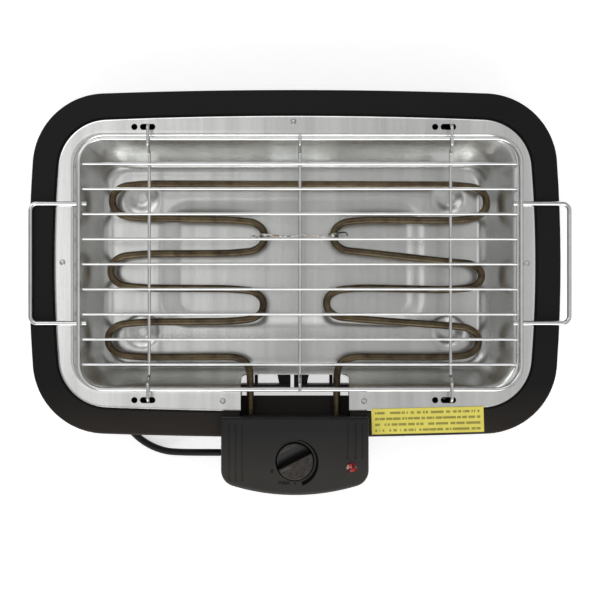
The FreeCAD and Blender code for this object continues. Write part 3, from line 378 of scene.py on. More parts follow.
def tray_height(x, y, z):
    """Sinks the four round cups into the floor, and gives the floor the faint unevenness of pressed sheet."""
    for sx in (-1, 1):
        for sy in (-1, 1):
            far = math.hypot(x - sx * CUP_X, y - sy * CUP_Y) / CUP_R
            if far < 1:
                z -= CUP_DROP * (0.5 + 0.5 * math.cos(math.pi * min(1.0, max(0.0, far * 1.25 - 0.25))))
    return z + 0.00012 * noise.noise(Vector((x * 22, y * 22, 0.0)))


def tray_rings():
    """Rings over the sheet, inwards: edge, flange, wall, floor, the step into the pan, and the pan."""
    rings = []

    def add(size, drop, cx=0.0, cy=0.0, bow=0.0):
        z = FLANGE_TOP - drop
        rings.append([at(x, y, tray_height(x, y, z) if drop > 0.02 else z)
                      for x, y in outline(*size, bow, cx, cy)])

    for inset, drop in ((0.0, 0.0006), (0.0002, 0.0002), (0.0006, 0.0), (0.002, 0.0)):
        flange = (FLANGE[0] - 2 * inset, FLANGE[1] - 2 * inset, FLANGE[2] - inset)
        add(flange, drop, bow=FLANGE[3])
    brink = (WELL[0] + 2 * WELL_EDGE_RUN, WELL[1] + 2 * WELL_EDGE_RUN, WELL[2] + WELL_EDGE_RUN)
    for i in range(1, 6):
        add(mixed(flange, brink, i / 6), 0.0, cy=WELL_Y * i / 6, bow=FLANGE[3] * (1 - i / 6))

    wall_run = (WELL[0] - FLOOR[0]) / 2
    slope = FLOOR_DROP / wall_run
    path = bend((-WELL_EDGE_RUN, 0.0), (0.0, 0.0), (BEND_TOP, BEND_TOP * slope), 6)
    for i in range(1, 9):
        run = BEND_TOP + (wall_run - BEND_FOOT_IN - BEND_TOP) * i / 8
        path.append((run, run * slope))
    path += bend(path[-1], (wall_run, FLOOR_DROP), (wall_run + BEND_FOOT_OUT, FLOOR_DROP), 7)[1:]
    for run, drop in path:
        share = run / wall_run
        inner, inner_y = mixed(WELL, FLOOR, share), WELL_Y + (FLOOR_Y - WELL_Y) * share
        add(inner, drop, cy=inner_y)

    rim = (PAN[0] + 2 * PAN_SOFT, PAN[1] + 2 * PAN_SOFT, PAN[2] + PAN_SOFT)
    for i in range(1, 21):
        add(mixed(inner, rim, i / 20), FLOOR_DROP, PAN_X * i / 20, inner_y + (PAN_Y - inner_y) * i / 20)
    for i in range(1, 13):
        share = i / 12
        run = (PAN_RUN + 2 * PAN_SOFT) * share - PAN_SOFT
        pan = (PAN[0] - 2 * run, PAN[1] - 2 * run, max(0.004, PAN[2] - run))
        add(pan, FLOOR_DROP + PAN_DROP * share * share * (3 - 2 * share), PAN_X, PAN_Y)
    for i in range(1, 12):
        add(mixed(pan, PAN_LAST, i / 11), FLOOR_DROP + PAN_DROP, PAN_X, PAN_Y)
    return rings


def tray_mesh(bm):
    last = bridge(bm, tray_rings())[-1]
    centre = bm.verts.new(sum((v.co for v in last), Vector()) / len(last))
    for a, b in zip(last, last[1:] + last[:1]):
        bm.faces.new((a, b, centre))


def stadium(cx, cy, length, width, z, count=24):
    """Points round a slot with round ends."""
    points = []
    for i in range(count):
        turn = 2 * math.pi * (i + 0.5) / count
        shift = math.copysign((length - width) / 2, math.cos(turn))
        points.append(at(cx + shift + width / 2 * math.cos(turn), cy + width / 2 * math.sin(turn), z))
    return points


def opening_cutters(bm):
    """Solid plugs for the legs' slots and holes and for the notch that the element's legs come through."""
    low, high = FLANGE_TOP - 0.003, FLANGE_TOP + 0.003
    for x in SLOTS_X:
        for y in (-SLOT_Y, SLOT_Y):
            for hole in ((x, y, SLOT_LENGTH, SLOT_WIDTH), (x - HOLE_SHIFT, y, 2 * HOLE_R, 2 * HOLE_R)):
                prism(bm, stadium(*hole, low), stadium(*hole, high))
    half = NOTCH_WIDTH / 2
    section = [(-half, high), (half, high)]
    for sx, first in ((1, 0.0), (-1, -90.0)):
        for i in range(7):
            turn = math.radians(first - 15 * i)
            section.append((sx * (half - NOTCH_R) + NOTCH_R * math.cos(turn),
                            NOTCH_BOTTOM + NOTCH_R + NOTCH_R * math.sin(turn)))
    prism(bm, [at(x, -0.2, z) for x, z in section], [at(x, -0.08, z) for x, z in section])


def bright_sheet():
    """Cold-rolled bright steel: long fine grain, faint clouds, a few scratches, painted shade on its floor."""
    material, make, use = finish("bright_sheet")
    # Painted shade: the sunken floor's colour drops to 0.8, standing for the shade of the walls, element and
    # grate
    painted_floor_shade = along(make, "Z", FLANGE_TOP - 0.031, FLANGE_TOP - 0.020, 0.80, 1.0)
    grain = speckle(make, places(make, (1500, 40, 300)), 1.0, 3.0, 0.7)
    bands = speckle(make, places(make, (55, 1.5, 4)), 1.0, 3.0)
    cloud = speckle(make, places(make), 14.0, 5.0)
    scratch = speckle(make, places(make, (3200, 90, 90)), 1.0, 1.0)
    tint = blend_of(make, bands, [(0.35, (0.78, 0.79, 0.775)), (0.65, (0.92, 0.925, 0.905))])
    lines = blend_of(make, scratch, [(0.66, grey(1.0)), (0.72, grey(0.86))])
    use(Base_Color=times(make, times(make, tint, lines), painted_floor_shade), Metallic=1.0,
        Roughness=spread(make, grain, 0.19, 0.30),
        Normal=relief(make, cloud, 0.0003, 0.3, relief(make, grain, 0.00005, 0.3)))
    return material


def mesh_of(made):
    """The mesh with its modifiers worked in."""
    return bpy.data.meshes.new_from_object(made.evaluated_get(bpy.context.evaluated_depsgraph_get()))


sheet_finish = bright_sheet()
tray = piece("reflector_tray_sheet", tray_mesh, sheet_finish, smooth_under=50.0)
thickness = tray.modifiers.new("thickness", "SOLIDIFY")
thickness.thickness = SHEET
thickness.offset = -1.0
cutter = piece("cutter", opening_cutters, sheet_finish)
cut = tray.modifiers.new("openings", "BOOLEAN")
cut.object = cutter
cut.operation = "DIFFERENCE"
cut.solver = "EXACT"
tray.data = mesh_of(tray)
tray.modifiers.clear()
bpy.data.objects.remove(cutter)
tray.data.set_sharp_from_angle(angle=math.radians(50.0))
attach(tray, "base")
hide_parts("reflector_tray")


# ---- Rivets ---------------------------------------------------------------------------------------------
# Five small domed rivets of plain steel. Each is set through the tray's flange from above and spread
# under the base's ledge.
RIVETS = ((-0.0013, 0.1228), (-0.2012, 0.0010), (0.2006, 0.0), (-0.0625, -0.1190), (0.0600, -0.1190))
RIVET_PROFILE = ((0.0015, -0.0034), (0.0015, 0.0000), (0.0024, 0.0000), (0.0025, 0.0003), (0.0019, 0.0009),
                 (0.0011, 0.0010), (0.0007, 0.0007), (0.0, 0.0006))


def turned(bm, place, profile, axis="Z", sides=32):
    """A lathe-turned form on an X or Z axis through place: profile is (radius, reach along the axis)."""
    rings = []
    for radius, reach in profile:
        ring = []
        for i in range(sides):
            turn = 2 * math.pi * i / sides
            a, b = radius * math.cos(turn), radius * math.sin(turn)
            ring.append(place + Vector({"X": (reach, a, b), "Z": (a, b, reach)}[axis]))
        rings.append(ring)
    made = bridge(bm, rings)
    for ring in (made[0], made[-1]):
        bm.faces.new(ring)
    bmesh.ops.remove_doubles(bm, verts=made[0] + made[-1], dist=1e-6)


def worn_metal(name, colour, roughness, metal=1.0, cloud_scale=120.0):
    """Plain metal with a clouded sheen and a fine tooth."""
    material, make, use = finish(name)
    where = places(make)
    cloud = speckle(make, where, cloud_scale, 4.0)
    dark = tuple(c * 0.78 for c in colour)
    use(Base_Color=blend_of(make, cloud, [(0.3, dark), (0.7, colour)]), Metallic=metal,
        Roughness=spread(make, cloud, roughness - 0.07, roughness + 0.1),
        Normal=relief(make, speckle(make, where, 2200.0), 0.00003, 0.3))
    return material


def rivet_mesh(bm):
    for x, y in RIVETS:
        turned(bm, at(x, y, FLANGE_TOP), RIVET_PROFILE)


rivets = piece("tray_rivet_heads", rivet_mesh, worn_metal("rivet_steel", (0.72, 0.72, 0.71), 0.25), "base")
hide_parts("tray_rivets")


# ---- Sticker -------------------------------------------------------------------------------------------
# A thin printed film, stuck on the front rim by its own glue. It is yellow, and rows of plain dark bars
# stand where its print would be.
STICKER_TURN = math.radians(1.4)
ROW_PITCH, ROW_SHARE, ROW_START = 0.0050, 0.42, 0.0503
BAR_SCALE, BAR_SHARE = 420.0, 0.44
PRINT_X, PRINT_Y = 0.0455, 0.0098  # half the size of the printed field
INK = 0.62


def sticker_finish():
    material, make, use = finish("yellow_film")
    sticker_low, sticker_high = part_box("front_sticker")
    middle = (sticker_low + sticker_high) / 2
    coordinates = make("TexCoord").outputs["Object"]
    centred = make("VectorMath", {0: coordinates, 1: tuple(-c for c in middle)}, operation="ADD")
    flat = make("VectorRotate", {"Vector": centred.outputs["Vector"], "Angle": -STICKER_TURN},
                rotation_type="Z_AXIS")
    parts = make("SeparateXYZ", {"Vector": flat.outputs["Vector"]}).outputs

    def work(operation, a, b=0.0):
        return make("Math", {0: a, 1: b}, operation=operation).outputs["Value"]

    rows = work("DIVIDE", work("ADD", parts["Y"], ROW_START), ROW_PITCH)
    in_row = work("LESS_THAN", work("ABSOLUTE", work("SUBTRACT", work("FRACT", rows), 0.5)), ROW_SHARE / 2)
    bars = make("CombineXYZ", {"X": work("MULTIPLY", parts["X"], BAR_SCALE),
                               "Y": work("MULTIPLY", work("FLOOR", rows), 7.3)}).outputs["Vector"]
    words = work("GREATER_THAN", speckle(make, bars, 1.0, 1.5, 0.5), BAR_SHARE)
    inside_x = work("LESS_THAN", work("ABSOLUTE", parts["X"]), PRINT_X)
    inside_y = work("LESS_THAN", work("ABSOLUTE", parts["Y"]), PRINT_Y)
    ink = work("MULTIPLY", work("MULTIPLY", in_row, words), work("MULTIPLY", inside_x, inside_y))
    cloud = speckle(make, coordinates, 60.0)
    film = blend_of(make, cloud, [(0.3, (0.93, 0.81, 0.15)), (0.7, (1.0, 0.90, 0.18))])
    colour = turning(make, work("MULTIPLY", ink, INK), film, (0.05, 0.045, 0.02, 1.0))
    use(Base_Color=colour, Roughness=spread(make, cloud, 0.38, 0.5), Specular_IOR_Level=0.3,
        Normal=relief(make, speckle(make, coordinates, 260.0), 0.00008, 0.3))
    return material


coat(sticker_finish(), "front_sticker")


# ---- Feet ----------------------------------------------------------------------------------------------
# Four soft black rubber feet. Each is held to a post of the base by a zinc-plated pan-head screw, sunk in
# its underside.
def rubber(name, colour, roughness):
    """Matt rubber with a dusty bloom."""
    material, make, use = finish(name)
    where = places(make)
    bloom = speckle(make, where, 55.0, 5.0)
    pale = tuple(c + 0.0042 for c in colour)
    use(Base_Color=blend_of(make, bloom, [(0.4, colour), (0.75, pale)]),
        Roughness=spread(make, bloom, roughness - 0.08, roughness + 0.08),
        Normal=relief(make, speckle(make, where, 1900.0, 2.0), 0.00006, 0.4), Specular_IOR_Level=0.35)
    return material


screw_steel = worn_metal("screw_steel", (0.56, 0.56, 0.54), 0.36)
feet = [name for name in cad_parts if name.startswith("rubber_foot_")]
coat(rubber("foot_rubber", grey(0.012), 0.72), *feet)
coat(screw_steel, "foot_screws")


# ---- Heating element -----------------------------------------------------------------------------------
# A steel tube with the heating coil inside, bent into loops. Heat has turned it brown and olive, and its
# cold ends go through bright swaged rings into the knob box.
def heated_steel():
    material, make, use = finish("element_steel")
    where = places(make)
    mottle = speckle(make, where, 70.0, 6.0, 0.65)
    streak = speckle(make, places(make, (25, 260, 260)), 1.0, 3.0)
    oxide = blend_of(make, mottle, [(0.30, (0.045, 0.030, 0.020)), (0.48, (0.105, 0.078, 0.046)),
                                    (0.60, (0.135, 0.108, 0.064)), (0.75, (0.085, 0.055, 0.044))])
    worn = blend_of(make, streak, [(0.35, grey(0.75)), (0.7, (1.25, 1.2, 1.1))])
    use(Base_Color=times(make, oxide, worn), Metallic=0.75, Roughness=spread(make, mottle, 0.24, 0.38),
        Normal=relief(make, speckle(make, where, 900.0, 3.0), 0.00005, 0.35))
    return material


coat(heated_steel(), "heating_element")
coat(worn_metal("ferrule_steel", (0.74, 0.73, 0.70), 0.22), "element_ferrules")
coat(worn_metal("bracket_steel", (0.60, 0.60, 0.58), 0.34), "element_plate", "thermostat_bracket",
     "thermostat_spindle")
coat(screw_steel, "element_terminal_pins", "housing_screws", "thermostat_screws", "cord_clamp_screws")


# ---- Tie wire ------------------------------------------------------------------------------------------
# A thin steel wire, wound by hand round the ends of the two inner loops so that they keep their distance:
# three turns on the left with a short tail, four on the right with a curled tail.
TIE_D = 0.0013
TIE_Y = 0.0245
ELEMENT_Z, ELEMENT_D = 0.061, 0.0065
TIE_LEFT_X, TIE_RIGHT_X = -0.0270, 0.0339
WRAP_LOOSE = 1.06


def spline_line(points):
    """Points read along the smooth curve that points control."""
    curve = bpy.data.curves.new("line", "CURVE")
    curve.dimensions = "3D"
    curve.resolution_u = 6
    spline = curve.splines.new("NURBS")
    spline.points.add(len(points) - 1)
    for control, place in zip(spline.points, points):
        control.co = (*place, 1.0)
    spline.order_u = 3
    spline.use_endpoint_u = True
    holder = bpy.data.objects.new("line", curve)
    line = bpy.data.meshes.new_from_object(holder)
    read = [v.co.copy() for v in line.vertices]
    bpy.data.objects.remove(holder)
    bpy.data.curves.remove(curve)
    bpy.data.meshes.remove(line)
    return read


def tube(bm, line, radius, sides=16):
    """A round rod along a line of points, with rounded ends."""
    across = (line[1] - line[0]).orthogonal().normalized()
    rings = []

    def ring(centre, direction, side, size):
        up = direction.cross(side)
        rings.append([centre + (side * math.cos(t) + up * math.sin(t)) * size
                      for t in (2 * math.pi * i / sides for i in range(sides))])

    for i, place in enumerate(line):
        direction = (line[min(len(line) - 1, i + 1)] - line[max(0, i - 1)]).normalized()
        across = (across - direction * across.dot(direction)).normalized()
        end = [(-0.05, 0.6), (0.0, 0.85), (0.2, 1.0)]
        if i == len(line) - 1:
            end = [(-back, share) for back, share in end[::-1]]
        for ahead, share in end if i in (0, len(line) - 1) else [(0.0, 1.0)]:
            ring(place + direction * radius * ahead, direction, across, radius * share)
    made = bridge(bm, rings)
    bm.faces.new(made[0])
    bm.faces.new(made[-1])


def tie_wire_line():
    rest_r = (ELEMENT_D + TIE_D) / 2 + 0.0001  # the wire's line where it lies on the tube
    points = []

    def run(x, *steps):
        """Points beside x, each given as how far from x, from the tie's line and above the tube's middle."""
        points.extend((x + dx, TIE_Y + dy, ELEMENT_Z + dz) for dx, dy, dz in steps)

    def wraps(x, y_from, y_to, turns):
        steps = turns * 10
        for i in range(steps + 1):
            turn = math.radians(-10) + 2 * math.pi * i / 10
            run(x, (rest_r * WRAP_LOOSE * math.sin(turn), y_from + (y_to - y_from) * i / steps,
                    rest_r * WRAP_LOOSE * math.cos(turn)))

    run(TIE_LEFT_X, (-0.0125, 0.0006, 0.0022), (-0.009, 0.0004, 0.0034), (-0.006, -0.0010, 0.0042))
    wraps(TIE_LEFT_X, -0.0020, 0.0018, 3)
    run(TIE_LEFT_X, (0.0070, 0.0012, rest_r - 0.0005))
    run(0.0, (-0.0080, -0.0006, rest_r - 0.0013), (0.0040, 0.0008, rest_r - 0.0010),
        (0.0065, 0.0022, rest_r - 0.0006), (0.0090, 0.0008, rest_r - 0.0010),
        (0.0180, 0.0006, rest_r - 0.0009))
    run(TIE_RIGHT_X, (-0.0070, -0.0008, rest_r - 0.0003))
    wraps(TIE_RIGHT_X, -0.0022, 0.0022, 4)
    run(TIE_RIGHT_X, (0.0060, 0.0030, rest_r - 0.0008), (0.0095, 0.0038, rest_r - 0.0014),
        (0.0125, 0.0024, rest_r - 0.0022), (0.0118, 0.0006, rest_r - 0.0028))
    return spline_line([at(*p) for p in points])


def tie_finish():
    """Bright steel wire gone straw and copper where the tube heats it."""
    material, make, use = finish("tie_steel")
    where = places(make)
    tint = speckle(make, where, 95.0, 2.0)
    colour = blend_of(make, tint, [(0.38, (0.030, 0.028, 0.026)), (0.46, (0.26, 0.24, 0.21)),
                                   (0.54, (0.80, 0.79, 0.76)), (0.64, (0.34, 0.17, 0.08))])
    use(Base_Color=colour, Metallic=1.0, Roughness=spread(make, tint, 0.18, 0.36),
        Normal=relief(make, tint, 0.00004, 0.3))
    return material


tie_wire = piece("element_tie_wire_wound", lambda bm: tube(bm, tie_wire_line(), TIE_D / 2, 12), tie_finish(),
                 "heating_unit")
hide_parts("element_tie_wire")


# ---- Knob box ------------------------------------------------------------------------------------------
# Two black mouldings with a satin face, screwed together from below. The cover is a little lighter and
# warmer towards its front, and grooves run down both sides of its top.
def box_plastic():
    material, make, use = finish("box_plastic")
    where = places(make)
    box_low, box_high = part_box("control_housing_cover")
    patches = speckle(make, where, 26.0, 4.0)
    forward = along(make, "Y", box_high.y - 0.01, box_low.y + 0.02)
    shade = turning(make, forward, (0.0165, 0.0165, 0.0168, 1.0), (0.0430, 0.0395, 0.0345, 1.0))
    wear = blend_of(make, patches, [(0.3, grey(0.88)), (0.7, grey(1.1))])
    use(Base_Color=times(make, shade, wear), Roughness=spread(make, patches, 0.44, 0.56),
        Specular_IOR_Level=0.28, Normal=relief(make, speckle(make, where, 1500.0, 2.0), 0.00012, 0.35))
    return material


coat(box_plastic(), "control_housing_cover", "control_housing_base")


# ---- Dial marks ----------------------------------------------------------------------------------------
# Low moulded marks round the knob: a nought, the word for full heat with its dot, and a wedge that grows
# with the heat. They are the cover's own plastic, blackened.
BOX_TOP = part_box("control_housing_cover")[1].z
KNOB = (0.0, -0.1695)
MARK_HEIGHT = 0.00025
WEDGE_INNER, WEDGE_START, WEDGE_END = 0.0182, 84, -72
WEDGE_THIN, WEDGE_THICK, WEDGE_STEPS = 0.0004, 0.0034, 40
DOT_X, DOT_Y, DOT_R = 0.0003, -0.1882, 0.0007
NOUGHT_PLACE, FULL_HEAT_PLACE, LETTER_SIZE = (-0.0194, -0.1776), (-0.0092, -0.1878), 0.0046


def mark_mesh(bm):
    low, high = BOX_TOP - 0.0001, BOX_TOP + MARK_HEIGHT

    def raised(points):
        prism(bm, [at(x, y, low) for x, y in points], [at(x, y, high) for x, y in points])

    def wedge_point(i, outer):
        turn = math.radians(WEDGE_START + (WEDGE_END - WEDGE_START) * i / WEDGE_STEPS)
        width = WEDGE_THIN + (WEDGE_THICK - WEDGE_THIN) * i / WEDGE_STEPS
        radius = WEDGE_INNER + width * outer
        return KNOB[0] + radius * math.cos(turn), KNOB[1] + radius * math.sin(turn)

    for i in range(WEDGE_STEPS):
        raised([wedge_point(i, 0), wedge_point(i, 1), wedge_point(i + 1, 1), wedge_point(i + 1, 0)])
    dot = [math.radians(20 * i) for i in range(18)]
    raised([(DOT_X + DOT_R * math.cos(t), DOT_Y + DOT_R * math.sin(t)) for t in dot])


def letters(name, text, x, y):
    """Raised letters as a mesh."""
    curve = bpy.data.curves.new(name, "FONT")
    curve.body = text
    curve.size = LETTER_SIZE
    curve.extrude = MARK_HEIGHT / 2
    curve.align_x = "CENTER"
    curve.align_y = "CENTER"
    holder = bpy.data.objects.new(name, curve)
    mesh = bpy.data.meshes.new_from_object(holder)
    bpy.data.objects.remove(holder)
    mesh.transform(Matrix.Translation(at(x, y, BOX_TOP + MARK_HEIGHT / 2)))
    mesh.materials.clear()
    mesh.materials.append(mark_black)
    made = bpy.data.objects.new(name, mesh)
    bpy.context.scene.collection.objects.link(made)
    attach(made, "heating_unit")
    return made


mark_black = moulded_plastic("mark_black", (0.0016, 0.0015, 0.0014), 0.55, 0.00004, gloss=0.06)
for mark in (piece("dial_wedge", mark_mesh, mark_black, "heating_unit"),
             letters("dial_nought", "0", *NOUGHT_PLACE),
             letters("dial_full_heat", "MAX", *FULL_HEAT_PLACE)):
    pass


# ---- Knob ----------------------------------------------------------------------------------------------
# A turned black knob, one half flat and the other sinking to a ridge that the thumb pushes on. A light
# painted line on the ridge's end points at the marks.
KNOB_R, KNOB_TOP, KNOB_LOW = 0.0157, 0.0945, 0.0845
GRIP_DEPTH, RIM = 0.0067, 0.0015
RIDGE_TURN = math.radians(26.6)
KNOB_PLACE = Matrix.Translation(at(*KNOB)) @ Matrix.Rotation(RIDGE_TURN, 4, "Z")
KNOB_ROUND = 0.0008
ROW_POINTS = 28


def grip_profile():
    """Across the ridge: how deep the top lies at each distance from the ridge line."""
    half = KNOB_R - KNOB_ROUND
    profile = [(-half + 0.0006 + (half - 0.0012) * i / 12, 0.0) for i in range(12)]
    profile += [(-0.0005, 0.0), (-0.00025, 0.00004), (-0.0001, 0.00015), (0.0, 0.0004), (0.00008, 0.0012),
                (0.00016, 0.0030), (0.00024, 0.0050), (0.00034, 0.0062), (0.0006, GRIP_DEPTH)]
    for i in range(1, 15):
        profile.append((0.0006 + (KNOB_R - RIM - 0.0012) * i / 14, GRIP_DEPTH * (1 - i / 14) ** 1.08))
    return profile + [(half - 0.0002, 0.0)]


def knob_mesh(bm):
    half = KNOB_R - KNOB_ROUND
    rows = []
    for across, depth in grip_profile():
        reach = math.sqrt(half * half - across * across)
        rows.append([(reach * (-1 + 2 * i / ROW_POINTS), across, KNOB_TOP - depth)
                     for i in range(ROW_POINTS + 1)])
    rows = bridge(bm, rows, closed=False)
    rim = rows[0] + [row[-1] for row in rows[1:-1]] + rows[-1][::-1] + [row[0] for row in rows[-2:0:-1]]
    levels = [[vert.co for vert in rim]]
    outward = [Vector((vert.co.x, vert.co.y, 0.0)).normalized() for vert in rim]
    for out, down in ((0.45, 0.12), (0.8, 0.45), (1.0, 1.0)):
        levels.append([(*(way * (half + KNOB_ROUND * out)).xy, vert.co.z - KNOB_ROUND * down)
                       for way, vert in zip(outward, rim)])
    levels.append([(*(way * KNOB_R).xy, KNOB_LOW) for way in outward])
    bm.faces.new(bridge(bm, levels)[-1])
    bmesh.ops.remove_doubles(bm, verts=bm.verts, dist=1e-7)
    bmesh.ops.transform(bm, matrix=KNOB_PLACE, verts=bm.verts)


def pointer_mesh(bm):
    line = [Vector((-KNOB_R + 0.0014 + 0.0012 * i, -0.0021, KNOB_TOP)) for i in range(8)]
    tube(bm, [KNOB_PLACE @ p for p in line], 0.00042, 10)


def knob_plastic():
    """The box's plastic again, its flat top a lighter grey with streaks and its sunken half dark."""
    material, make, use = finish("knob_plastic")
    where = places(make)
    flat = along(make, "Z", KNOB_TOP - 0.0012, KNOB_TOP - 0.0001)
    across = make("VectorRotate", {"Vector": where, "Angle": -RIDGE_TURN}, rotation_type="Z_AXIS")
    streaks = speckle(make, across.outputs["Vector"], 300.0, 3.0)
    streaked_grey = blend_of(make, streaks, [(0.35, (0.034, 0.029, 0.026)), (0.65, (0.068, 0.060, 0.054))])
    use(Base_Color=turning(make, flat, (0.0105, 0.0102, 0.0100, 1.0), streaked_grey),
        Roughness=spread(make, streaks, 0.34, 0.50), Specular_IOR_Level=0.28,
        Normal=relief(make, speckle(make, where, 1500.0, 2.0), 0.00008, 0.35))
    return material


knob = piece("control_knob_moulded", knob_mesh, knob_plastic(), "knob", 40.0)
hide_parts("control_knob")
pointer_paint = moulded_plastic("pointer_paint", (0.16, 0.155, 0.145), 0.5, 0.00003)
pointer = piece("knob_pointer_line", pointer_mesh, pointer_paint, "knob")


# ---- Pilot light ---------------------------------------------------------------------------------------
# A clear red lens, pressed into a hole in the cover, with the little neon lamp behind it. Pale pink and dark
# red cells on it are painted highlights and painted shade on its facets.
LENS_X, LENS_Y, LENS_R = 0.0483, -0.1747, 0.00455
FACETS = 8


def lens_mesh(bm):
    middle = at(LENS_X, LENS_Y, BOX_TOP)
    turned(bm, middle + Vector((0, 0, -0.007)), [(LENS_R - 0.001, 0.0), (LENS_R - 0.001, 0.007)], sides=24)
    rings = []
    for share, rise, shift in ((1.0, 0.0, 0), (0.98, 0.0008, 0), (0.72, 0.0019, 0.5), (0.40, 0.0026, 0)):
        radius = LENS_R * share
        turns = [2 * math.pi * (i + shift) / FACETS for i in range(FACETS)]
        rings.append([bm.verts.new(middle + Vector((radius * math.cos(t), radius * math.sin(t), rise)))
                      for t in turns])
    foot, girdle, crown, table = rings
    tip = bm.verts.new(middle + Vector((0, 0, 0.0029)))
    for i in range(FACETS):
        j = (i + 1) % FACETS
        for facet in ((foot[i], foot[j], girdle[j], girdle[i]), (girdle[i], girdle[j], crown[i]),
                      (girdle[j], crown[j], crown[i]), (crown[i], crown[j], table[j]),
                      (crown[i], table[j], table[i]), (table[i], table[j], tip)):
            bm.faces.new(facet)
    bm.faces.new(rings[0])


def lens_finish():
    material, make, use = finish("red_lens")
    # Painted highlights and shade: pale pink cells stand for facets catching light, dark red cells for facets in
    # shade
    facet_glint_cells = make("TexVoronoi", {"Vector": places(make), "Scale": 330.0}).outputs["Color"]
    share = make("SeparateColor", {"Color": facet_glint_cells}).outputs["Red"]
    use(Base_Color=blend_of(make, share, [(0.15, (0.14, 0.003, 0.003)), (0.35, (0.50, 0.016, 0.012)),
                                          (0.70, (0.62, 0.030, 0.024)), (0.84, (0.90, 0.52, 0.47))]),
        Roughness=spread(make, share, 0.05, 0.14), Transmission_Weight=0.25, IOR=1.49)
    return material


lens = piece("pilot_lens_faceted", lens_mesh, lens_finish(), "heating_unit", 3.0)
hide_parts("pilot_lens")
coat(worn_metal("lamp_glass", (0.75, 0.55, 0.42), 0.2, 0.0), "neon_lamp")


# ---- Works inside the box ------------------------------------------------------------------------------
# The thermostat and the safety switch are brown phenolic, the clamp and the plunger white nylon, the
# terminals and collars glazed ceramic, and each wire has insulation of its own colour.
def plain_insulation(name, colour, roughness=0.4, grain=0.00004):
    return moulded_plastic(name, colour, roughness, grain, 1800.0, 0.5)


coat(plain_insulation("phenolic", (0.060, 0.030, 0.018), 0.45), "thermostat_body", "safety_switch")
coat(plain_insulation("white_nylon", (0.68, 0.67, 0.62), 0.42), "cord_clamp", "switch_plunger")
coat(plain_insulation("ceramic", (0.74, 0.71, 0.64), 0.22), "element_insulators", "terminal_block")
coat(plain_insulation("wire_brown", (0.10, 0.040, 0.018)), "wire_live", "wire_switched")
coat(plain_insulation("wire_blue", (0.020, 0.055, 0.26)), "wire_neutral")
coat(plain_insulation("wire_green", (0.14, 0.26, 0.022)), "wire_earth")


# ---- Strain relief -------------------------------------------------------------------------------------
# A soft rubber sleeve, moulded on the cord. Two collars grip the wall of the box, and it tapers outwards
# in rings.
cord_rubber = rubber("cord_rubber", (0.0105, 0.0105, 0.0108), 0.62)
RELIEF_Y, RELIEF_Z = -0.1718, 0.022
BOX_WALL_X = -0.0532
RELIEF_RINGS = 5


def relief_mesh(bm):
    tip, end = (corner.x - base_middle.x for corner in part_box("cord_strain_relief"))
    wall = BOX_WALL_X
    pitch = (wall - 0.0003 - tip) / RELIEF_RINGS
    profile = [(0.0033, tip + 0.0001), (0.0040, tip)]
    for i in range(RELIEF_RINGS):
        start = tip + pitch * i
        size = 0.0041 + 0.0014 * (i + 0.5) / RELIEF_RINGS
        profile += [(size, start + 0.0004), (size, start + pitch * 0.62),
                    (size - 0.0007, start + pitch * 0.72), (size - 0.0007, start + pitch * 0.95)]
    profile += [(0.0056, wall - 0.0009), (0.0056, wall - 0.0003), (0.0045, wall - 0.0003),
                (0.0045, wall + 0.0027), (0.0052, wall + 0.0027), (0.0052, wall + 0.0044),
                (0.0034, wall + 0.0046), (0.0034, end)]
    turned(bm, at(0.0, RELIEF_Y, RELIEF_Z), profile, "X", 28)


strain_relief = piece("cord_strain_relief_ringed", relief_mesh, cord_rubber, "heating_unit")
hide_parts("cord_strain_relief")


# ---- Mains cord ----------------------------------------------------------------------------------------
# A round black rubber lead, 6.5 mm, about 1.4 m long. It drops from the box to the table, turns in under
# the skirt, and the rest is wound in a flat coil there, tied with a strap, with the plug beside it.
CORD_D = 0.0065
LEAD = ((-0.0683, -0.1718, 0.0220), (-0.0845, -0.1718, 0.0220), (-0.1035, -0.1729, 0.0134),
        (-0.1225, -0.1732, 0.0054), (-0.1415, -0.1655, 0.00335), (-0.1570, -0.1510, 0.00335),
        (-0.1665, -0.1310, 0.00335), (-0.1715, -0.1090, 0.00335), (-0.1745, -0.0870, 0.00335),
        (-0.1770, -0.0660, 0.00335), (-0.1788, -0.0490, 0.00335))
TAIL = ((-0.1110, 0.0105, 0.0104), (-0.0915, 0.0115, 0.0185), (-0.0745, 0.0115, 0.0191))
COIL = (-0.1300, -0.0360)
COIL_TURN_R = (0.0425, 0.0360, 0.0295, 0.0295, 0.0360, 0.0425)
COIL_LOW, COIL_HIGH = 0.00335, 0.00987
COIL_TURNS = 5.25
PER_TURN = 24
CHANGE_OVER = 0.20  # the share of each turn in which the cord moves over to the next


def coil_points():
    """Turn by turn inwards on the table, then outwards on top, starting and ending a cord's width outside."""
    points = []
    stretch = 1 / math.cos(math.pi / PER_TURN)
    for i in range(1, int(COIL_TURNS * PER_TURN)):
        done = i / PER_TURN
        turn = int(done)
        share = min(1.0, (done - turn) / CHANGE_OVER)
        share = share * share * (3 - 2 * share)
        before = COIL_TURN_R[turn - 1] if turn else COIL_TURN_R[0] + CORD_D
        radius = before + (COIL_TURN_R[turn] - before) * share
        height = COIL_LOW if turn < 3 else COIL_HIGH
        if turn == 3:  # up to the second layer, a little inside the turn below
            height = COIL_LOW + (COIL_HIGH - COIL_LOW) * share
            radius -= 0.0028 * math.sin(math.pi * share)
        angle = math.pi - 2 * math.pi * done
        points.append((COIL[0] + radius * stretch * math.cos(angle),
                       COIL[1] + radius * stretch * math.sin(angle), height))
    return points


cord_points = [at(*p) for p in (*LEAD, *coil_points(), *TAIL)]
cord_line = spline_line(cord_points)
cord = piece("mains_cord", lambda bm: tube(bm, cord_line, CORD_D / 2, 16), cord_rubber)
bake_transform(cord)
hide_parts("power_cord_lead", "power_cord_coil", "power_cord_tail")


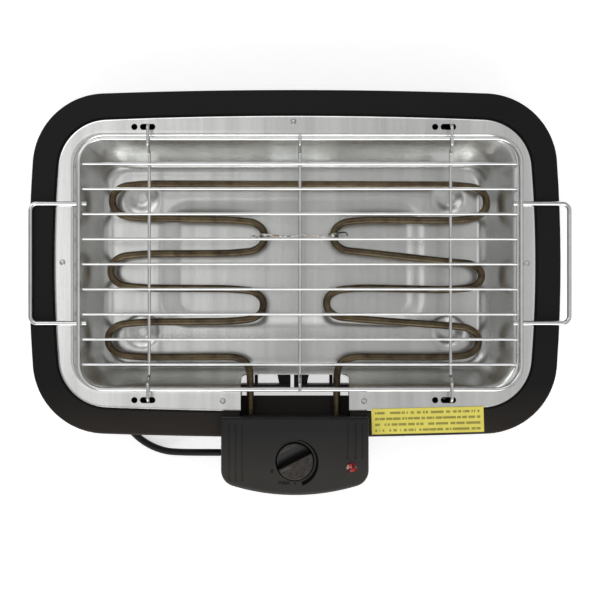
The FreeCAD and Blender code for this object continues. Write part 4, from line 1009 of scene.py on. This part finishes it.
# ---- Coil tie ------------------------------------------------------------------------------------------
# A soft hook-and-loop strap of black nylon, wrapped once round all the coil's turns with its free end
# pressed flat on top.
STRAP_ANGLE = math.radians(-62)
STRAP_WIDTH, STRAP_THICK = 0.010, 0.0011
STRAP_INNER, STRAP_OUTER = 0.0260, 0.0461  # from the coil's middle
STRAP_LOW, STRAP_HIGH, STRAP_BEND = 0.0009, 0.01345, 0.0028


def strap_mesh(bm):
    middle = Vector((*at(*COIL).xy, 0.0))
    out = Vector((math.cos(STRAP_ANGLE), math.sin(STRAP_ANGLE), 0.0))
    side = Vector((-out.y, out.x, 0.0))
    right, left = STRAP_OUTER - STRAP_BEND, STRAP_INNER + STRAP_BEND
    top, bottom = STRAP_HIGH - STRAP_BEND, STRAP_LOW + STRAP_BEND
    section = []
    for cx, cz, first in ((right, top, 90), (right, bottom, 0), (left, bottom, -90), (left, top, -180)):
        for i in range(7):
            turn = math.radians(first - 15 * i)
            section.append((cx + STRAP_BEND * math.cos(turn), cz + STRAP_BEND * math.sin(turn)))
    section += [(STRAP_INNER + 0.009, STRAP_HIGH + 0.0004), (STRAP_OUTER - 0.008, STRAP_HIGH + 0.0013),
                (STRAP_OUTER - 0.003, STRAP_HIGH + 0.0010)]
    bridge(bm, [[middle + out * r + side * (share * STRAP_WIDTH / 2) + Vector((0, 0, z)) for r, z in section]
                for share in (-1.0, -0.96, -0.5, 0.0, 0.5, 0.96, 1.0)], closed=False)


def strap_finish():
    """Looped nylon pile: short soft fibres in a dense nap."""
    material, make, use = finish("strap_nylon")
    where = places(make)
    nap = speckle(make, where, 1400.0, 4.0, 0.8)
    use(Base_Color=blend_of(make, nap, [(0.35, (0.010, 0.010, 0.011)), (0.7, (0.035, 0.035, 0.037))]),
        Roughness=0.9, Sheen_Weight=0.4, Sheen_Roughness=0.5, Normal=relief(make, nap, 0.0003, 0.6))
    return material


strap = piece("coil_strap", strap_mesh, strap_finish(), smooth_under=60.0)
web = strap.modifiers.new("thickness", "SOLIDIFY")
web.thickness = STRAP_THICK
web.offset = 0.0
soft = strap.modifiers.new("soft", "SUBSURF")
soft.levels = soft.render_levels = 1
strap.data = mesh_of(strap)
strap.modifiers.clear()
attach(strap, "base")


# ---- Mains plug ----------------------------------------------------------------------------------------
# A round moulded rubber plug with finger grooves, a sleeve of rings towards the cord, earth strips at two
# sides and two nickel-plated pins.
PLUG_X, PLUG_Y, PLUG_Z = TAIL[-1]
PLUG_R = 0.019
PIN_SPREAD, PIN_R, PIN_LENGTH = 0.0095, 0.0024, 0.019
PLUG_FACE = 0.070  # from the sleeve's tip to the face with the pins


def plug_mesh(bm):
    profile = [(0.0034, 0.0001), (0.0045, 0.0)]
    for i in range(6):
        start = 0.0005 + 0.0035 * i
        size = 0.0046 + 0.0018 * (i + 0.5) / 6
        profile += [(size, start + 0.0003), (size, start + 0.0020), (size - 0.0006, start + 0.0025),
                    (size - 0.0006, start + 0.0033)]
    profile += [(0.0062, 0.0225), (0.0085, 0.0250), (0.0122, 0.0278), (0.0148, 0.0308), (0.0164, 0.0345),
                (0.0172, 0.0380), (0.0173, 0.0420), (0.0168, 0.0450), (0.0173, 0.0475), (0.0168, 0.0500),
                (0.0174, 0.0525), (0.0180, 0.0540), (0.0188, 0.0552), (0.0190, 0.0565), (0.0190, 0.0680),
                (0.0187, 0.0695), (0.0180, PLUG_FACE), (0.0160, PLUG_FACE), (0.0158, PLUG_FACE - 0.0012),
                (0.0060, PLUG_FACE - 0.0012), (0.0001, PLUG_FACE - 0.0012)]
    turned(bm, at(PLUG_X, PLUG_Y, PLUG_Z), profile, "X", 48)


def pin_mesh(bm):
    for side in (-1, 1):
        profile = [(PIN_R, -0.002), (PIN_R, PIN_LENGTH - 0.0022), (PIN_R * 0.93, PIN_LENGTH - 0.0012),
                   (PIN_R * 0.72, PIN_LENGTH - 0.0004), (PIN_R * 0.4, PIN_LENGTH), (0.0001, PIN_LENGTH)]
        turned(bm, at(PLUG_X + PLUG_FACE, PLUG_Y + side * PIN_SPREAD, PLUG_Z), profile, "X", 24)


def earth_strip_mesh(bm):
    for side in (-1, 1):
        rows = []
        for reach, rise in ((0.0560, -0.0002), (0.0563, 0.00002), (0.0620, 0.00002), (0.0690, 0.00002),
                            (0.0697, -0.0002)):
            rows.append([at(PLUG_X + reach, PLUG_Y + (PLUG_R + rise) * math.sin(t),
                            PLUG_Z + side * (PLUG_R + rise) * math.cos(t))
                         for t in (math.radians(-9 + 3 * i) for i in range(7))])
        bridge(bm, rows, closed=False)


plug = piece("mains_plug_moulded", plug_mesh, cord_rubber, "base")
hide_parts("mains_plug_body")
plug_nickel = worn_metal("plug_nickel", (0.70, 0.67, 0.60), 0.2)
pins = piece("mains_plug_pins_turned", pin_mesh, plug_nickel, "base")
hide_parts("mains_plug_pins")
strips = piece("mains_plug_earth_strips", earth_strip_mesh, plug_nickel, "base")


# ---- Cooking grate -------------------------------------------------------------------------------------
# Chromed steel wire, resistance-welded wherever two wires cross. The welds are small flattened lumps under
# the plating.
def chrome():
    material, make, use = finish("chrome_wire")
    where = places(make)
    cloud = speckle(make, where, 45.0, 4.0)
    plating = blend_of(make, cloud, [(0.3, (0.70, 0.71, 0.71)), (0.7, (0.84, 0.84, 0.83))])
    use(Base_Color=plating, Metallic=1.0, Roughness=spread(make, cloud, 0.07, 0.17),
        Normal=relief(make, speckle(make, where, 600.0), 0.00004, 0.25))
    return material


grate_nodes = [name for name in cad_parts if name.startswith("grate_")]
chrome_finish = chrome()
coat(chrome_finish, *grate_nodes)
WELD_R = 0.0014
CROSS_R, FRAME_R, HANDLE_R = 0.0014, 0.0019, 0.0020


def weld_spots():
    """Where two wires touch, from the places of the wires."""
    spots = []
    crosses = []
    for name in grate_nodes:
        low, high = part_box(name)
        if "cross" in name:
            crosses.append((low.x + high.x) / 2 if "middle" in name else high.x - CROSS_R)
    for name in grate_nodes:
        low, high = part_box(name)
        if "bar" in name:
            spots += [Vector((x, (low.y + high.y) / 2, low.z)) for x in crosses]
    frame_low, frame_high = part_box("grate_frame")
    for x in crosses:
        spots += [Vector((x, y, frame_high.z)) for y in (frame_low.y + FRAME_R, frame_high.y - FRAME_R)]
    for side, x in (("left", frame_low.x + FRAME_R), ("right", frame_high.x - FRAME_R)):
        low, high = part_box("grate_handle_" + side)
        spots += [Vector((x, y, frame_low.z)) for y in (low.y + HANDLE_R, high.y - HANDLE_R)]
    return spots


def weld_mesh(bm):
    for number, spot in enumerate(weld_spots()):
        seed = random.Random(number)
        lump = bmesh.ops.create_icosphere(bm, subdivisions=2, radius=WELD_R)["verts"]
        for vert in lump:
            vert.co += vert.co * 0.35 * noise.noise(vert.co * 900 + Vector((number, 0, 0)))
            vert.co.z *= 0.55
            vert.co *= 0.9 + 0.075 * seed.random()
            vert.co += spot


welds = piece("grate_welds", weld_mesh, chrome_finish, "grate", 80.0)
